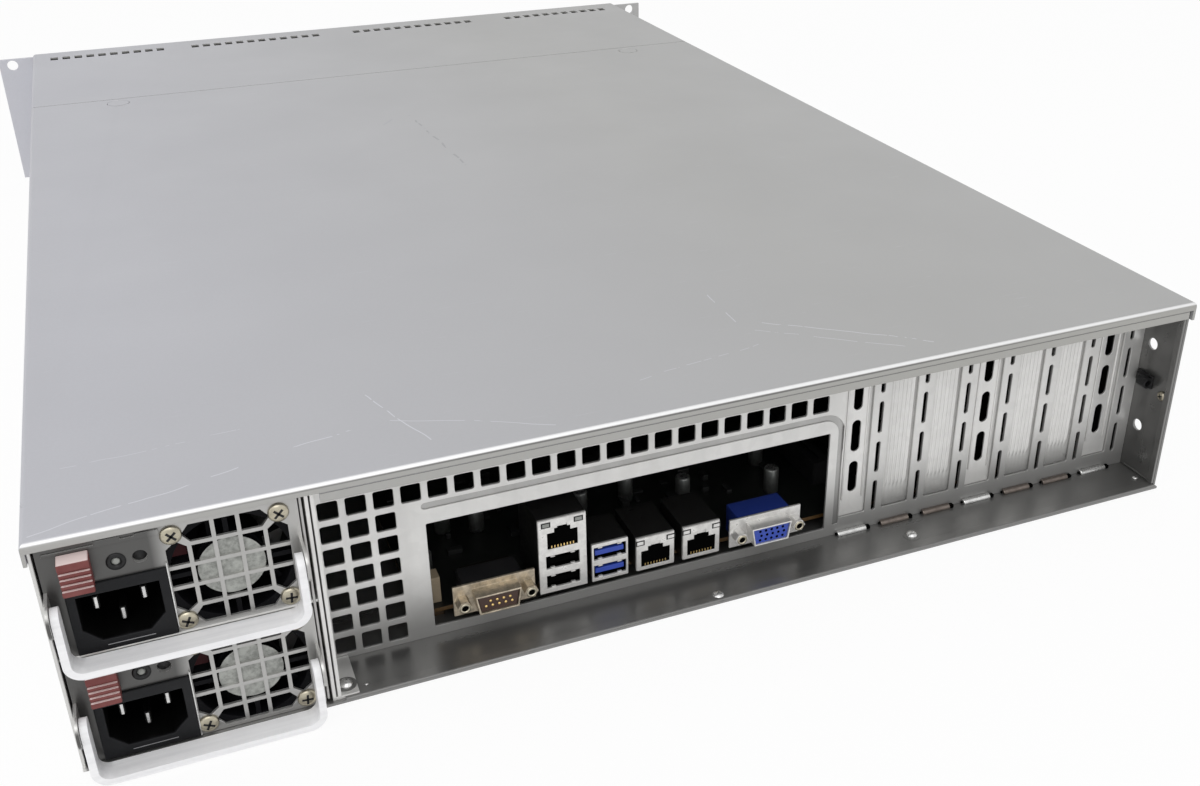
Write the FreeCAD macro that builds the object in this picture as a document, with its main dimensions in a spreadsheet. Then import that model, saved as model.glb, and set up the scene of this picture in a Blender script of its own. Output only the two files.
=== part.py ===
import FreeCAD, Part
import os
import re
import Sketcher

# Two-unit rack server. X runs from the power supplies to the expansion slots, the rear is at -Y,
# the drive bays and rack ears are at +Y, and the origin is the middle of the underside.

doc = FreeCAD.newDocument("RackServer")

SIZES = {
    # folded sheet shell
    "chassis_width": 437,
    "chassis_height": 88,
    "chassis_depth": 647,
    "sheet": 1.2,
    "cover_gap": 0.1,
    "panel_recess": 22,
    "panel_flange": 10,
    "wall_hole": 5,
    "wall_hole_inset": 16.5,
    "wall_hole_low": 23.4,
    "wall_hole_high": 62.4,
    # sliding cover and fixed front plate
    "front_plate": 147,
    "seam_gap": 0.6,
    "cover_flange": 8,
    "cover_lip": 3.6,
    "cover_bend": 2,
    "tab_radius": 6.5,
    "tab_gap": 0.3,
    "tab_spread": 337.6,
    "tab_setback": 10,
    "tab_stem": 3,
    "tab_stem_depth": 3,
    "top_vent_width": 5,
    "top_vent_length": 8,
    "top_vent_pitch": 7.8,
    "top_vent_inset": 15,
    # rear panel
    "window_left": -95.9,
    "window_width": 161,
    "window_sill": 5.3,
    "window_height": 44.45,
    "groove_width": 2.6,
    "groove_depth": 0.5,
    "groove_offset": 6,
    "groove_beside": 3.7,
    "groove_radius": 9,
    "vent_hole": 7,
    "vent_pitch": 9.42,
    "vent_left": -131.8,
    "vent_top": 66.9,
    "vent_rows": 7,
    "vent_columns": 3,
    "vent_row_length": 21,
    # expansion slots
    "slot_count": 7,
    "slot_first": 77.5,
    "slot_pitch": 20.32,
    "slot_opening": 12.4,
    "slot_sill": 9,
    "slot_head": 78,
    "rib_slot_width": 2,
    "rib_slot_low": 8.7,
    "rib_slot_length": 14.2,
    "rib_slot_pitch": 18.2,
    "blank_width": 17.6,
    "blank_sheet": 0.8,
    "blank_vent_width": 4,
    "blank_vent_low": 19.5,
    "blank_vent_length": 14.2,
    "blank_vent_pitch": 18.8,
    "flute_width": 1.6,
    "flute_height": 1,
    "flute_pitch": 3.6,
    "flute_low": 19,
    # power supplies and their bay
    "psu_width": 76,
    "psu_height": 40,
    "psu_depth": 336,
    "psu_pitch": 42.4,
    "psu_floor": 1.6,
    "psu_inset": 1.5,
    "psu_side_gap": 0.7,
    "bay_wall_gap": 2.1,
    "bay_foot": 8,
    "bay_hem_gap": 0.6,
    "shelf_level": 42.2,
    "psu_face": 1,
    "fan_from_side": 53.9,
    "fan_frame": 38.2,
    "fan_frame_depth": 20,
    "fan_bore": 18.4,
    "fan_fit": 0.2,
    "fan_hub": 10.5,
    "fan_stator": 3,
    "fan_stator_width": 14,
    "fan_strut": 1.6,
    "rotor_gap": 0.5,
    "rotor_depth": 13,
    "rotor_tip": 17.6,
    "blade_sheet": 1.4,
    "blade_count": 5,
    "blade_slant": 0.55,
    "blade_rise": 0.46,
    "blade_root": 0.8,
    "blade_tip": 0.975,
    "grille_cell": 6.3,
    "grille_point": 2.5,
    "grille_pitch": 7.6,
    "grille_rows": 5,
    "inlet_from_side": 5.3,
    "inlet_width": 29.5,
    "inlet_low": 0.4,
    "inlet_height": 24.8,
    "inlet_depth": 20,
    "inlet_proud": 1,
    "socket_width": 24,
    "socket_height": 17,
    "socket_depth": 16,
    "socket_chamfer": 5,
    "inlet_pin_width": 2,
    "inlet_pin_height": 4.6,
    "inlet_pin_length": 11,
    "inlet_pin_pitch": 14,
    "inlet_pin_drop": 6,
    "lamp_from_side": 21.4,
    "lamp_height": 30.8,
    "lamp_radius": 2.4,
    "lamp_hole_radius": 2.2,
    "lamp_hole_pitch": 6.8,
    "latch_from_side": 5.6,
    "latch_width": 9,
    "latch_low": 25.6,
    "latch_height": 11.6,
    "latch_proud": 6,
    "latch_rib": 0.8,
    "latch_rib_pitch": 2,
    "latch_rib_count": 4,
    "latch_travel": 3,
    "latch_gap": 0.3,
    "latch_stem_width": 4,
    "latch_stem_height": 5,
    "latch_stem_depth": 8,
    "bail_strip": 2.4,
    "bail_depth": 8,
    "bail_bend": 6,
    "bail_drop": 20.8,
    "bail_pivot": 19.5,
    "bail_gap": 0.2,
    "bail_stand_off": 3,
    "bail_pin": 1.5,
    "bail_pin_fit": 0.05,
    "ear_sheet": 1,
    "ear_height": 11,
    # main board and what it carries
    "board_left": -101,
    "board_width": 305,
    "board_length": 330,
    "board_setback": 4,
    "board_sheet": 1.6,
    "standoff_height": 6.3,
    "standoff_width": 6,
    "standoff_inset": 9,
    "port_proud": 2,
    "mouth_end": 4,
    "tongue_side": 0.6,
    "tongue_lift": 1.8,
    "tongue_height": 1.8,
    "tongue_setback": 2,
    "shell_foot": 14.8,
    "shell_head": 17.2,
    "shell_height": 8,
    "shell_sheet": 0.6,
    "shell_reach": 6,
    "shell_floor": 1,
    "flange_sheet": 1,
    "housing_width": 19,
    "housing_height": 11,
    "post_spread": 25,
    "post_width": 4.6,
    "post_reach": 5,
    "slot_connector_length": 89,
    "slot_connector_width": 7.5,
    "slot_connector_height": 11,
    "slot_connector_setback": 20,
    "sink_size": 80,
    "sink_height": 56,
    "sink_base": 4,
    "sink_fin": 1.2,
    "sink_fin_count": 11,
    "sink_centre": 51.5,
    "sink_spread": 150,
    "sink_setback": 220,
    "memory_length": 133,
    "memory_height": 31,
    "memory_sheet": 4,
    "memory_pitch": 9,
    "memory_first": 5.4,
    "memory_count": 4,
    # fan row behind the drives
    "cooler_size": 80,
    "cooler_depth": 38,
    "cooler_bore": 38,
    "cooler_setback": 217,
    "cooler_first": -78,
    "cooler_pitch": 110,
    "cooler_count": 3,
    "cooler_lift": 2,
    "cooler_hub": 17,
    "cooler_tip": 37,
    "cooler_rotor_depth": 26,
    "cooler_stator": 4,
    "cooler_stator_width": 26,
    "cooler_wall": 3,
    # drive bays
    "drive_columns": 4,
    "drive_rows": 2,
    "bay_height": 27.4,
    "bay_depth": 160,
    "tray_gap": 0.5,
    "tray_length": 150,
    "tray_rail": 1.6,
    "tray_rail_height": 20,
    "bezel_depth": 12,
    "bezel_back": 3,
    "bezel_lug": 2,
    "bezel_lug_width": 12,
    "bezel_vent_width": 13,
    "bezel_vent_pitch": 17,
    "bezel_vent_count": 5,
    "bezel_vent_height": 14,
    "lever_sheet": 4,
    "lever_gap": 0.4,
    "lever_pin": 1.5,
    "lever_pin_fit": 0.05,
    "lever_slot_width": 18,
    "lever_slot_pitch": 25,
    "lever_slot_count": 3,
    "backplane_sheet": 2,
    "backplane_gap": 2,
    "backplane_vent": 60,
    # front fascia, control panel and ears
    "fascia_sheet": 2,
    "control_width": 62,
    "control_depth": 14,
    "button_radius": 4,
    "button_gap": 0.3,
    "button_proud": 1.5,
    "button_length": 8,
    "button_pitch": 16,
    "front_vent_width": 22,
    "front_vent_pitch": 28,
    "front_vent_height": 16,
    "front_vent_count": 11,
    "ear_width": 22.8,
    "ear_plate": 2,
    "ear_leg": 40,
    "ear_margin": 1.5,
    "rack_hole": 3.5,
    "rack_hole_spread": 465.1,
    "rack_hole_rise": 76.2,
    # tie mount on the right wall
    "clip_length": 9,
    "clip_height": 6,
    "clip_reach": 5,
    "clip_hole": 2.2,
    "clip_level": 43,
}

# The four groups of holes in the front plate: left edge of the first hole, and how many holes.
TOP_VENTS = {"top_vent_first": (-207, 10), "top_vent_second": (-113, 12), "top_vent_third": (3, 12),
             "top_vent_fourth": (121, 11)}
# Connectors in the rear window: left edge, width, height above the board and depth.
PORTS = {
    "serial": (-89, 31, 12.5, 14),
    "tall": (-56.2, 18.6, 32.3, 24),
    "double": (-35.6, 14.5, 16.6, 18),
    "left_network": (-17.8, 15.6, 14.6, 22),
    "right_network": (1.4, 15.6, 14.6, 22),
    "display": (21.4, 31, 12.5, 14),
}
# Their mouths: margin at each side, sill above the board and height.
MOUTHS = {
    "tall_upper": (2.8, 18.6, 10),
    "tall_middle": (2.8, 10.6, 5.6),
    "tall_lower": (2.8, 2, 5.6),
    "double_upper": (0.8, 9.4, 5.6),
    "double_lower": (0.8, 1.4, 5.6),
    "network": (1.8, 1.4, 9),
}
for vent, (left, count) in TOP_VENTS.items():
    SIZES[vent] = left
    SIZES[vent + "_count"] = count
for port, limits in PORTS.items():
    for name, value in zip(("left", "width", "height", "depth"), limits):
        SIZES[f"{port}_{name}"] = value
for mouth, limits in MOUTHS.items():
    for name, value in zip(("margin", "sill", "opening"), limits):
        SIZES[f"{mouth}_{name}"] = value

sizes = doc.addObject("Spreadsheet::Sheet", "Sizes")
for row, (alias, value) in enumerate(SIZES.items(), start=1):
    sizes.set(f"A{row}", alias)
    sizes.set(f"B{row}", str(value))
    sizes.setAlias(f"B{row}", alias)
doc.recompute()

# Places that many pieces share, as expressions of the sheet's sizes.
WALL = "(chassis_width / 2 - sheet - cover_gap)"
INSIDE = "(chassis_width / 2 - 2 * sheet - cover_gap)"
REAR = "(-chassis_depth / 2)"
LIP_BACK = f"({REAR} + sheet + cover_gap)"
FRONT = "(chassis_depth / 2)"
PANEL = "(panel_recess - chassis_depth / 2)"
BEHIND_PANEL = f"({PANEL} + sheet)"
ROOF = "(chassis_height - sheet)"
RIM = "(chassis_height - sheet - cover_gap)"
SEAM = f"({FRONT} - front_plate)"
PSU_LEFT = f"(-{INSIDE} + psu_side_gap)"
PSU_RIGHT = f"({PSU_LEFT} + psu_width)"
PSU_FACE = f"({REAR} + psu_inset)"
BAY_WALL = f"({PSU_RIGHT} + bay_wall_gap)"
BAY_RIGHT = f"({BAY_WALL} + sheet)"
BOARD_REAR = f"({BEHIND_PANEL} + board_setback)"
BOARD_FLOOR = "(sheet + standoff_height)"
BOARD_TOP = f"({BOARD_FLOOR} + board_sheet)"
COLUMN = f"((2 * {INSIDE} - sheet * (drive_columns + 1)) / drive_columns)"
CAGE_TOP = "(sheet + drive_rows * (bay_height + sheet))"
CAGE_REAR = f"({FRONT} - bay_depth)"
TAB_LINE = f"({SEAM} - seam_gap - tab_setback)"
SINK_LINE = f"({BOARD_REAR} + sink_setback)"
LATCH_STEM = f"({PSU_LEFT} + latch_from_side + (latch_width - latch_stem_width) / 2 - latch_travel / 2)"
BAIL_LINE = f"({PSU_FACE} - bail_stand_off - bail_depth / 2)"

nodes = []


def bound(text):
    """The expression with each size read from the sheet."""
    return re.sub(r"\b(?!sqrt\b)[a-z]\w*", r"Sizes.\g<0>", str(text))


def number(text):
    """The present value of an expression."""
    return float(sizes.evalExpression(bound(text)))


def whole(alias):
    """A size that counts copies."""
    return int(round(SIZES[alias]))


def bind(item, **expressions):
    for name, text in expressions.items():
        item.setExpression(name, bound(text))


def place(item, x, y, z):
    for axis, text in (("x", x), ("y", y), ("z", z)):
        item.setExpression(f"Placement.Base.{axis}", bound(text))


def box(x0, x1, y0, y1, z0, z1):
    """A block between six limits."""
    solid = doc.addObject("Part::Box", "Block")
    bind(solid, Length=f"({x1}) - ({x0})", Width=f"({y1}) - ({y0})", Height=f"({z1}) - ({z0})")
    place(solid, x0, y0, z0)
    return solid


TURNS = {
    "x": FreeCAD.Rotation(FreeCAD.Vector(0, 1, 0), 90),
    "y": FreeCAD.Rotation(FreeCAD.Vector(1, 0, 0), -90),
    "z": FreeCAD.Rotation(),
}


def rod(radius, x, y, z, length, along="z"):
    """A cylinder from a point along an axis."""
    solid = doc.addObject("Part::Cylinder", "Rod")
    solid.Placement = FreeCAD.Placement(FreeCAD.Vector(), TURNS[along])
    bind(solid, Radius=radius, Height=length)
    place(solid, x, y, z)
    return solid


def hexagon(width, x, y, z, length, along="z"):
    """A six-sided bar from a point along an axis, given its width across the flats."""
    solid = doc.addObject("Part::Prism", "Hexagon")
    solid.Polygon = 6
    solid.Placement = FreeCAD.Placement(FreeCAD.Vector(), TURNS[along])
    bind(solid, Circumradius=f"{width} / sqrt(3)", Height=length)
    place(solid, x, y, z)
    return solid


def group(*solids):
    joined = doc.addObject("Part::Compound", "Group")
    joined.Links = list(solids)
    return joined


def fuse(*solids):
    joined = doc.addObject("Part::MultiFuse", "Joined")
    joined.Shapes = list(solids)
    return joined


def cut(base, *tools):
    remainder = doc.addObject("Part::Cut", "Trimmed")
    remainder.Base = base
    remainder.Tool = tools[0] if len(tools) == 1 else group(*tools)
    return remainder


def node(label, item):
    """Register a finished sub-part under its own name."""
    item.Label = label
    nodes.append(item)
    return item


def origin_of(body, role):
    return next(item for item in body.Origin.OriginFeatures if item.Role == role)


def sketch(body, role, level, *loops):
    """A sketch on an origin plane, raised by level along the plane's normal."""
    drawing = body.newObject("Sketcher::SketchObject", "Outline")
    drawing.AttachmentSupport = [(origin_of(body, role), "")]
    drawing.MapMode = "FlatFace"
    drawing.setExpression("AttachmentOffset.Base.z", bound(level))
    for loop in loops:
        loop(drawing)
    return drawing


def pin_point(drawing, curve, end, x, y):
    """Hold a curve's end at bound distances from the sketch's origin."""
    for kind, text in (("DistanceX", x), ("DistanceY", y)):
        index = drawing.addConstraint(Sketcher.Constraint(kind, -1, 1, curve, end, number(text)))
        drawing.setExpression(f"Constraints[{index}]", bound(text))


def circle(x, y, radius):
    def draw(drawing):
        centre = FreeCAD.Vector(number(x), number(y), 0)
        ring = Part.Circle(centre, FreeCAD.Vector(0, 0, 1), number(radius))
        curve = drawing.addGeometry(ring, False)
        pin_point(drawing, curve, 3, x, y)
        index = drawing.addConstraint(Sketcher.Constraint("Radius", curve, number(radius)))
        drawing.setExpression(f"Constraints[{index}]", bound(radius))
    return draw


def side(start, end):
    """The unit step from one corner towards another, for outlines that run along the axes."""
    return tuple((b > a) - (b < a) for a, b in zip(start, end))


def outline(*corners):
    """A closed outline through (x, y) corners, or (x, y, radius) for a rounded one."""
    def draw(drawing):
        spots = [(number(corner[0]), number(corner[1])) for corner in corners]
        ends = []
        for place_in_loop, corner in enumerate(corners):
            x, y = corner[:2]
            if len(corner) == 2:
                ends.append([(x, y)])
                continue
            before = side(spots[place_in_loop], spots[place_in_loop - 1])
            after = side(spots[place_in_loop], spots[(place_in_loop + 1) % len(spots)])
            ends.append([(f"({x}) + {step[0]} * {corner[2]}", f"({y}) + {step[1]} * {corner[2]}")
                         for step in (before, after)])
        lines = []
        for place_in_loop, here in enumerate(ends):
            start, finish = here[-1], ends[(place_in_loop + 1) % len(ends)][0]
            line = Part.LineSegment(*(FreeCAD.Vector(number(x), number(y), 0) for x, y in (start, finish)))
            curve = drawing.addGeometry(line, False)
            pin_point(drawing, curve, 1, *start)
            if len(ends[(place_in_loop + 1) % len(ends)]) == 2:
                pin_point(drawing, curve, 2, *finish)
            lines.append(curve)
        for place_in_loop, corner in enumerate(corners):
            came, leaves = lines[place_in_loop - 1], lines[place_in_loop]
            if len(corner) == 2:
                drawing.addConstraint(Sketcher.Constraint("Coincident", came, 2, leaves, 1))
            else:
                round_corner(drawing, came, leaves, corner[2])
    return draw


def round_corner(drawing, came, leaves, radius):
    """Join two lines of a sketch with a tangent arc."""
    first = drawing.Geometry[came].EndPoint
    last = drawing.Geometry[leaves].StartPoint
    into = (drawing.Geometry[came].EndPoint - drawing.Geometry[came].StartPoint).normalize()
    away = (drawing.Geometry[leaves].EndPoint - drawing.Geometry[leaves].StartPoint).normalize()
    left_turn = into.cross(away).z > 0
    start, finish = (first, last) if left_turn else (last, first)
    middle = first + (last - first) / 2
    corner = first + into * number(radius)
    centre = middle + (middle - corner)
    outward = (corner - centre).normalize()
    crown = centre + outward * number(radius)
    curve = drawing.addGeometry(Part.Arc(start, crown, finish), False)
    came_end, leaves_end = (1, 2) if left_turn else (2, 1)
    drawing.addConstraint(Sketcher.Constraint("Coincident", came, 2, curve, came_end))
    drawing.addConstraint(Sketcher.Constraint("Coincident", leaves, 1, curve, leaves_end))
    index = drawing.addConstraint(Sketcher.Constraint("Radius", curve, number(radius)))
    drawing.setExpression(f"Constraints[{index}]", bound(radius))


def rectangle(x0, x1, y0, y1):
    return outline((x0, y0), (x1, y0), (x1, y1), (x0, y1))


def punch(far, depth, *loops):
    """A tool with the outlines' section, from far towards the rear by depth."""
    drawing = doc.addObject("Sketcher::SketchObject", "Punch")
    drawing.Placement = FreeCAD.Placement(FreeCAD.Vector(), FreeCAD.Rotation(FreeCAD.Vector(1, 0, 0), 90))
    drawing.setExpression("Placement.Base.y", bound(far))
    for loop in loops:
        loop(drawing)
    tool = doc.addObject("Part::Extrusion", "Tool")
    tool.Base = drawing
    tool.DirMode = "Normal"
    tool.Solid = True
    bind(tool, LengthFwd=depth)
    return tool


def new_body(label):
    body = doc.addObject("PartDesign::Body", label.title().replace("_", ""))
    body.Label = label
    return body


def extrude(body, kind, drawing, length, centred=False):
    """A pad or a pocket of a sketch, along its normal or to both sides of it."""
    feature = body.newObject(f"PartDesign::{kind}", kind)
    feature.Profile = drawing
    bind(feature, Length=length)
    if centred:
        feature.SideType = "Symmetric"
    body.Tip = feature
    doc.recompute()
    return feature


def pad(body, drawing, length, centred=False):
    return extrude(body, "Pad", drawing, length, centred)


def pocket(body, drawing, length):
    """A pocket to both sides of its sketch."""
    before = body.Shape.Volume
    feature = extrude(body, "Pocket", drawing, length, True)
    if not body.Shape.Volume < before:
        raise RuntimeError(f"{body.Label}: a pocket removes nothing")
    return feature


def round_edges(body, radius, wanted):
    """Fillet the edges whose middle the test accepts."""
    base = body.Tip
    names = [f"Edge{index}" for index, edge in enumerate(base.Shape.Edges, start=1)
             if wanted(edge.BoundBox)]
    feature = body.newObject("PartDesign::Fillet", "Bend")
    feature.Base = (base, names)
    bind(feature, Radius=radius)
    body.Tip = feature
    doc.recompute()
    return feature


def polar_pattern(body, feature, role, copies):
    pattern = body.newObject("PartDesign::PolarPattern", "Ring")
    pattern.Originals = [feature]
    pattern.Axis = (origin_of(body, role), [""])
    pattern.Angle = 360
    pattern.Occurrences = copies
    body.Tip = pattern
    doc.recompute()


# ---------------------------------------------------------------- folded shell

def chassis_tray():
    """The floor pan and the two side walls, which end behind the cover's lip."""
    floor = box(f"-{WALL}", WALL, REAR, FRONT, "0", "sheet")
    left = box(f"-{WALL}", f"-{INSIDE}", LIP_BACK, FRONT, "sheet", RIM)
    right = box(INSIDE, WALL, LIP_BACK, FRONT, "sheet", RIM)
    holes = [rod("wall_hole / 2", f"{INSIDE} - sheet", f"{REAR} + wall_hole_inset", level, "3 * sheet", "x")
             for level in ("wall_hole_low", "wall_hole_high")]
    node("chassis_tray", group(floor, left, cut(right, *holes)))


def rear_panel():
    """The recessed panel: board window, square vents, slot openings and their slotted ribs."""
    back = f"{PANEL} - sheet"
    front = f"{BEHIND_PANEL} + sheet"
    sheet_wall = box(BAY_RIGHT, INSIDE, PANEL, BEHIND_PANEL, "sheet", RIM)
    flange = box(BAY_RIGHT, INSIDE, BEHIND_PANEL, f"{PANEL} + panel_flange", f"{RIM} - sheet", RIM)
    window = box("window_left", "window_left + window_width", back, front,
                 "window_sill", "window_sill + window_height")
    openings = [window]
    for column in range(whole("vent_row_length")):
        deep = whole("vent_rows") if column < whole("vent_columns") else 1
        for line in range(deep):
            x = f"(vent_left + {column} * vent_pitch)"
            z = f"(vent_top - {line} * vent_pitch)"
            openings.append(box(x, f"{x} + vent_hole", back, front, f"{z} - vent_hole", z))
    for slot in range(whole("slot_count")):
        centre = f"(slot_first + {slot} * slot_pitch)"
        openings.append(box(f"{centre} - slot_opening / 2", f"{centre} + slot_opening / 2", back, front,
                            "slot_sill", "slot_head"))
        rib = f"({centre} + slot_pitch / 2)"
        for step in range(4):
            low = f"(rib_slot_low + {step} * rib_slot_pitch)"
            openings.append(box(f"{rib} - rib_slot_width / 2", f"{rib} + rib_slot_width / 2", back, front,
                                low, f"{low} + rib_slot_length"))
    node("rear_panel", cut(cut(fuse(sheet_wall, flange), *openings), *groove()))


def groove():
    """The shallow groove that runs over the window and turns down beside it."""
    near = f"{PANEL} - sheet"
    deep = f"{PANEL} + groove_depth"
    low = "(window_sill + window_height + groove_offset)"
    right = "(window_left + window_width + groove_beside)"
    turn_x = f"({right} + groove_width - groove_radius)"
    turn_z = f"({low} + groove_width - groove_radius)"
    across = box("window_left", turn_x, near, deep, low, f"{low} + groove_width")
    down = box(right, f"{right} + groove_width", near, deep, "window_sill", turn_z)
    outer = rod("groove_radius", turn_x, near, turn_z, f"{deep} - ({near})", "y")
    inner = rod("groove_radius - groove_width", turn_x, near, turn_z, f"{deep} - ({near})", "y")
    quarter = box(turn_x, f"{right} + groove_width", near, deep, turn_z, f"{low} + groove_width")
    bend = doc.addObject("Part::Common", "Quarter")
    bend.Base = cut(outer, inner)
    bend.Tool = quarter
    return across, down, bend


def slot_blanks():
    """Seven low-profile blanks behind the openings: the first, middle and last vented, the rest fluted."""
    blanks = []
    last = whole("slot_count") - 1
    for slot in range(whole("slot_count")):
        centre = f"(slot_first + {slot} * slot_pitch)"
        back = f"({BEHIND_PANEL} + blank_sheet)"
        plate = box(f"{centre} - blank_width / 2", f"{centre} + blank_width / 2", BEHIND_PANEL, back,
                    "sheet + slot_sill / 2", f"{RIM} - 2 * sheet")
        if slot in (0, last // 2, last):
            vents = []
            for step in range(3):
                low = f"(blank_vent_low + {step} * blank_vent_pitch)"
                vents.append(box(f"{centre} - blank_vent_width / 2", f"{centre} + blank_vent_width / 2",
                                 f"{BEHIND_PANEL} - sheet", f"{back} + sheet",
                                 low, f"{low} + blank_vent_length"))
            blanks.append(cut(plate, *vents))
            continue
        flutes = []
        for step in (-1, 0, 1):
            middle = f"({centre} + {step} * flute_pitch)"
            flutes.append(box(f"{middle} - flute_width / 2", f"{middle} + flute_width / 2",
                              f"{BEHIND_PANEL} - flute_height", BEHIND_PANEL,
                              "flute_low", "slot_head - sheet"))
        blanks.append(fuse(plate, *flutes))
    node("slot_blanks", group(*blanks))


def psu_bay():
    """The doubled wall beside the power supplies with its foot, and the shelf between the two."""
    end = f"{PSU_FACE} + psu_depth"
    hem = f"({BAY_RIGHT} + bay_hem_gap)"
    wall = box(BAY_WALL, BAY_RIGHT, LIP_BACK, end, "sheet", RIM)
    doubled = box(hem, f"{hem} + sheet", LIP_BACK, PANEL, "sheet", RIM)
    foot = box(BAY_RIGHT, f"{BAY_RIGHT} + bay_foot", LIP_BACK, PANEL, "sheet", "2 * sheet")
    shelf = box(f"-{INSIDE}", BAY_WALL, f"{REAR} + psu_inset + sheet", end,
                "shelf_level", "shelf_level + sheet")
    node("psu_bay", fuse(wall, doubled, foot, shelf))


def folded_plate(label, near, far, low_edge):
    """A top sheet with side flanges outside the walls."""
    body = new_body(label)
    half = "(chassis_width / 2)"
    inner = f"({half} - sheet)"
    drop = f"({ROOF} + sheet - cover_flange)"
    profile = outline((f"-{half}", drop), (f"-{inner}", drop), (f"-{inner}", ROOF), (inner, ROOF),
                      (inner, drop), (half, drop), (half, "chassis_height"), (f"-{half}", "chassis_height"))
    pad(body, sketch(body, "XZ_Plane", f"-({far})", profile), f"({far}) - ({near})")
    if low_edge:
        lip = rectangle(f"-{half}", half, "chassis_height - cover_lip", "chassis_height")
        pad(body, sketch(body, "XZ_Plane", f"-({near}) - sheet", lip), "sheet")
    top = number("chassis_height")
    edge = number(half)

    def outer_edge(limits):
        along_side = limits.XLength < 0.01 and abs(abs(limits.XMax) - edge) < 0.01
        along_rear = low_edge and limits.YLength < 0.01 and abs(limits.YMin - number(near)) < 0.01
        return limits.ZLength < 0.01 and abs(limits.ZMax - top) < 0.01 and (along_side or along_rear)

    round_edges(body, "cover_bend", outer_edge)
    return body


def top_cover():
    """The cover that slides to the rear, with a round hole for each release tab."""
    body = folded_plate("top_cover", REAR, f"{SEAM} - seam_gap", True)
    holes = [circle(f"{side_sign} * tab_spread / 2", TAB_LINE, "tab_radius") for side_sign in (-1, 1)]
    pocket(body, sketch(body, "XY_Plane", ROOF, *holes), "4 * sheet")
    node("top_cover", body)




def cover_tabs():
    """The two round release tabs, each a disc on a short square stem."""
    for name, sign in (("left", -1), ("right", 1)):
        body = new_body(f"cover_tab_{name}")
        x = f"{sign} * tab_spread / 2"
        disc = circle(x, TAB_LINE, "tab_radius - tab_gap")
        pad(body, sketch(body, "XY_Plane", ROOF, disc), "sheet")
        stem = rectangle(f"{x} - tab_stem", f"{x} + tab_stem",
                         f"{TAB_LINE} - tab_stem", f"{TAB_LINE} + tab_stem")
        pad(body, sketch(body, "XY_Plane", f"{ROOF} - tab_stem_depth", stem), "tab_stem_depth")
        node(f"cover_tab_{name}", body)


def front_top_plate():
    """The fixed plate over the drive bays, with four rows of vents near its front edge."""
    body = folded_plate("front_top_plate", SEAM, FRONT, False)
    loops = []
    far = f"{FRONT} - top_vent_inset"
    for vent in TOP_VENTS:
        for step in range(whole(vent + "_count")):
            x = f"({vent} + {step} * top_vent_pitch)"
            loops.append(rectangle(x, f"{x} + top_vent_width", f"{far} - top_vent_length", far))
    pocket(body, sketch(body, "XY_Plane", ROOF, *loops), "4 * sheet")
    node("front_top_plate", body)


def rack_ears():
    """Flat ears with two rack holes each, on legs along the outside of the walls."""
    low = "ear_margin"
    high = f"({ROOF} + sheet - cover_flange - cover_gap)"
    near = f"({FRONT} - ear_plate)"
    leg = f"({WALL} + sheet)"
    tip = f"({WALL} + ear_plate / 2 + ear_width)"
    for name, sign in (("left", "-"), ("right", "")):
        body = new_body(f"rack_ear_{name}")
        section = outline((f"{sign}{WALL}", f"{FRONT} - ear_leg"), (f"{sign}{leg}", f"{FRONT} - ear_leg"),
                          (f"{sign}{leg}", near), (f"{sign}{tip}", near), (f"{sign}{tip}", FRONT),
                          (f"{sign}{WALL}", FRONT))
        pad(body, sketch(body, "XY_Plane", low, section), f"{high} - {low}")
        sides = sorted((f"{sign}{leg}", f"{sign}{tip}"), key=number)
        crown = rectangle(*sides, high, "chassis_height - ear_margin")
        pad(body, sketch(body, "XZ_Plane", f"-{FRONT}", crown), "ear_plate")
        holes = [circle(f"{sign}rack_hole_spread / 2", f"chassis_height / 2 {step} rack_hole_rise / 2",
                        "rack_hole") for step in "+-"]
        pocket(body, sketch(body, "XZ_Plane", f"-{FRONT} + ear_plate / 2", *holes), "3 * ear_plate")
        node(f"rack_ear_{name}", body)


def cable_clip():
    """A black tie mount on the right wall."""
    near = f"({REAR} + wall_hole_inset - clip_length / 2)"
    block = box(f"{INSIDE} - clip_reach", INSIDE, near, f"{near} + clip_length",
                "clip_level", "clip_level + clip_height")
    hole = rod("clip_hole / 2 + sheet / 2", f"{INSIDE} - clip_reach / 2", f"{near} - sheet",
               "clip_level + clip_height / 2", "clip_length + 2 * sheet", "y")
    node("cable_clip", cut(block, hole))


# ---------------------------------------------------------------- board, ports and coolers

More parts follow.
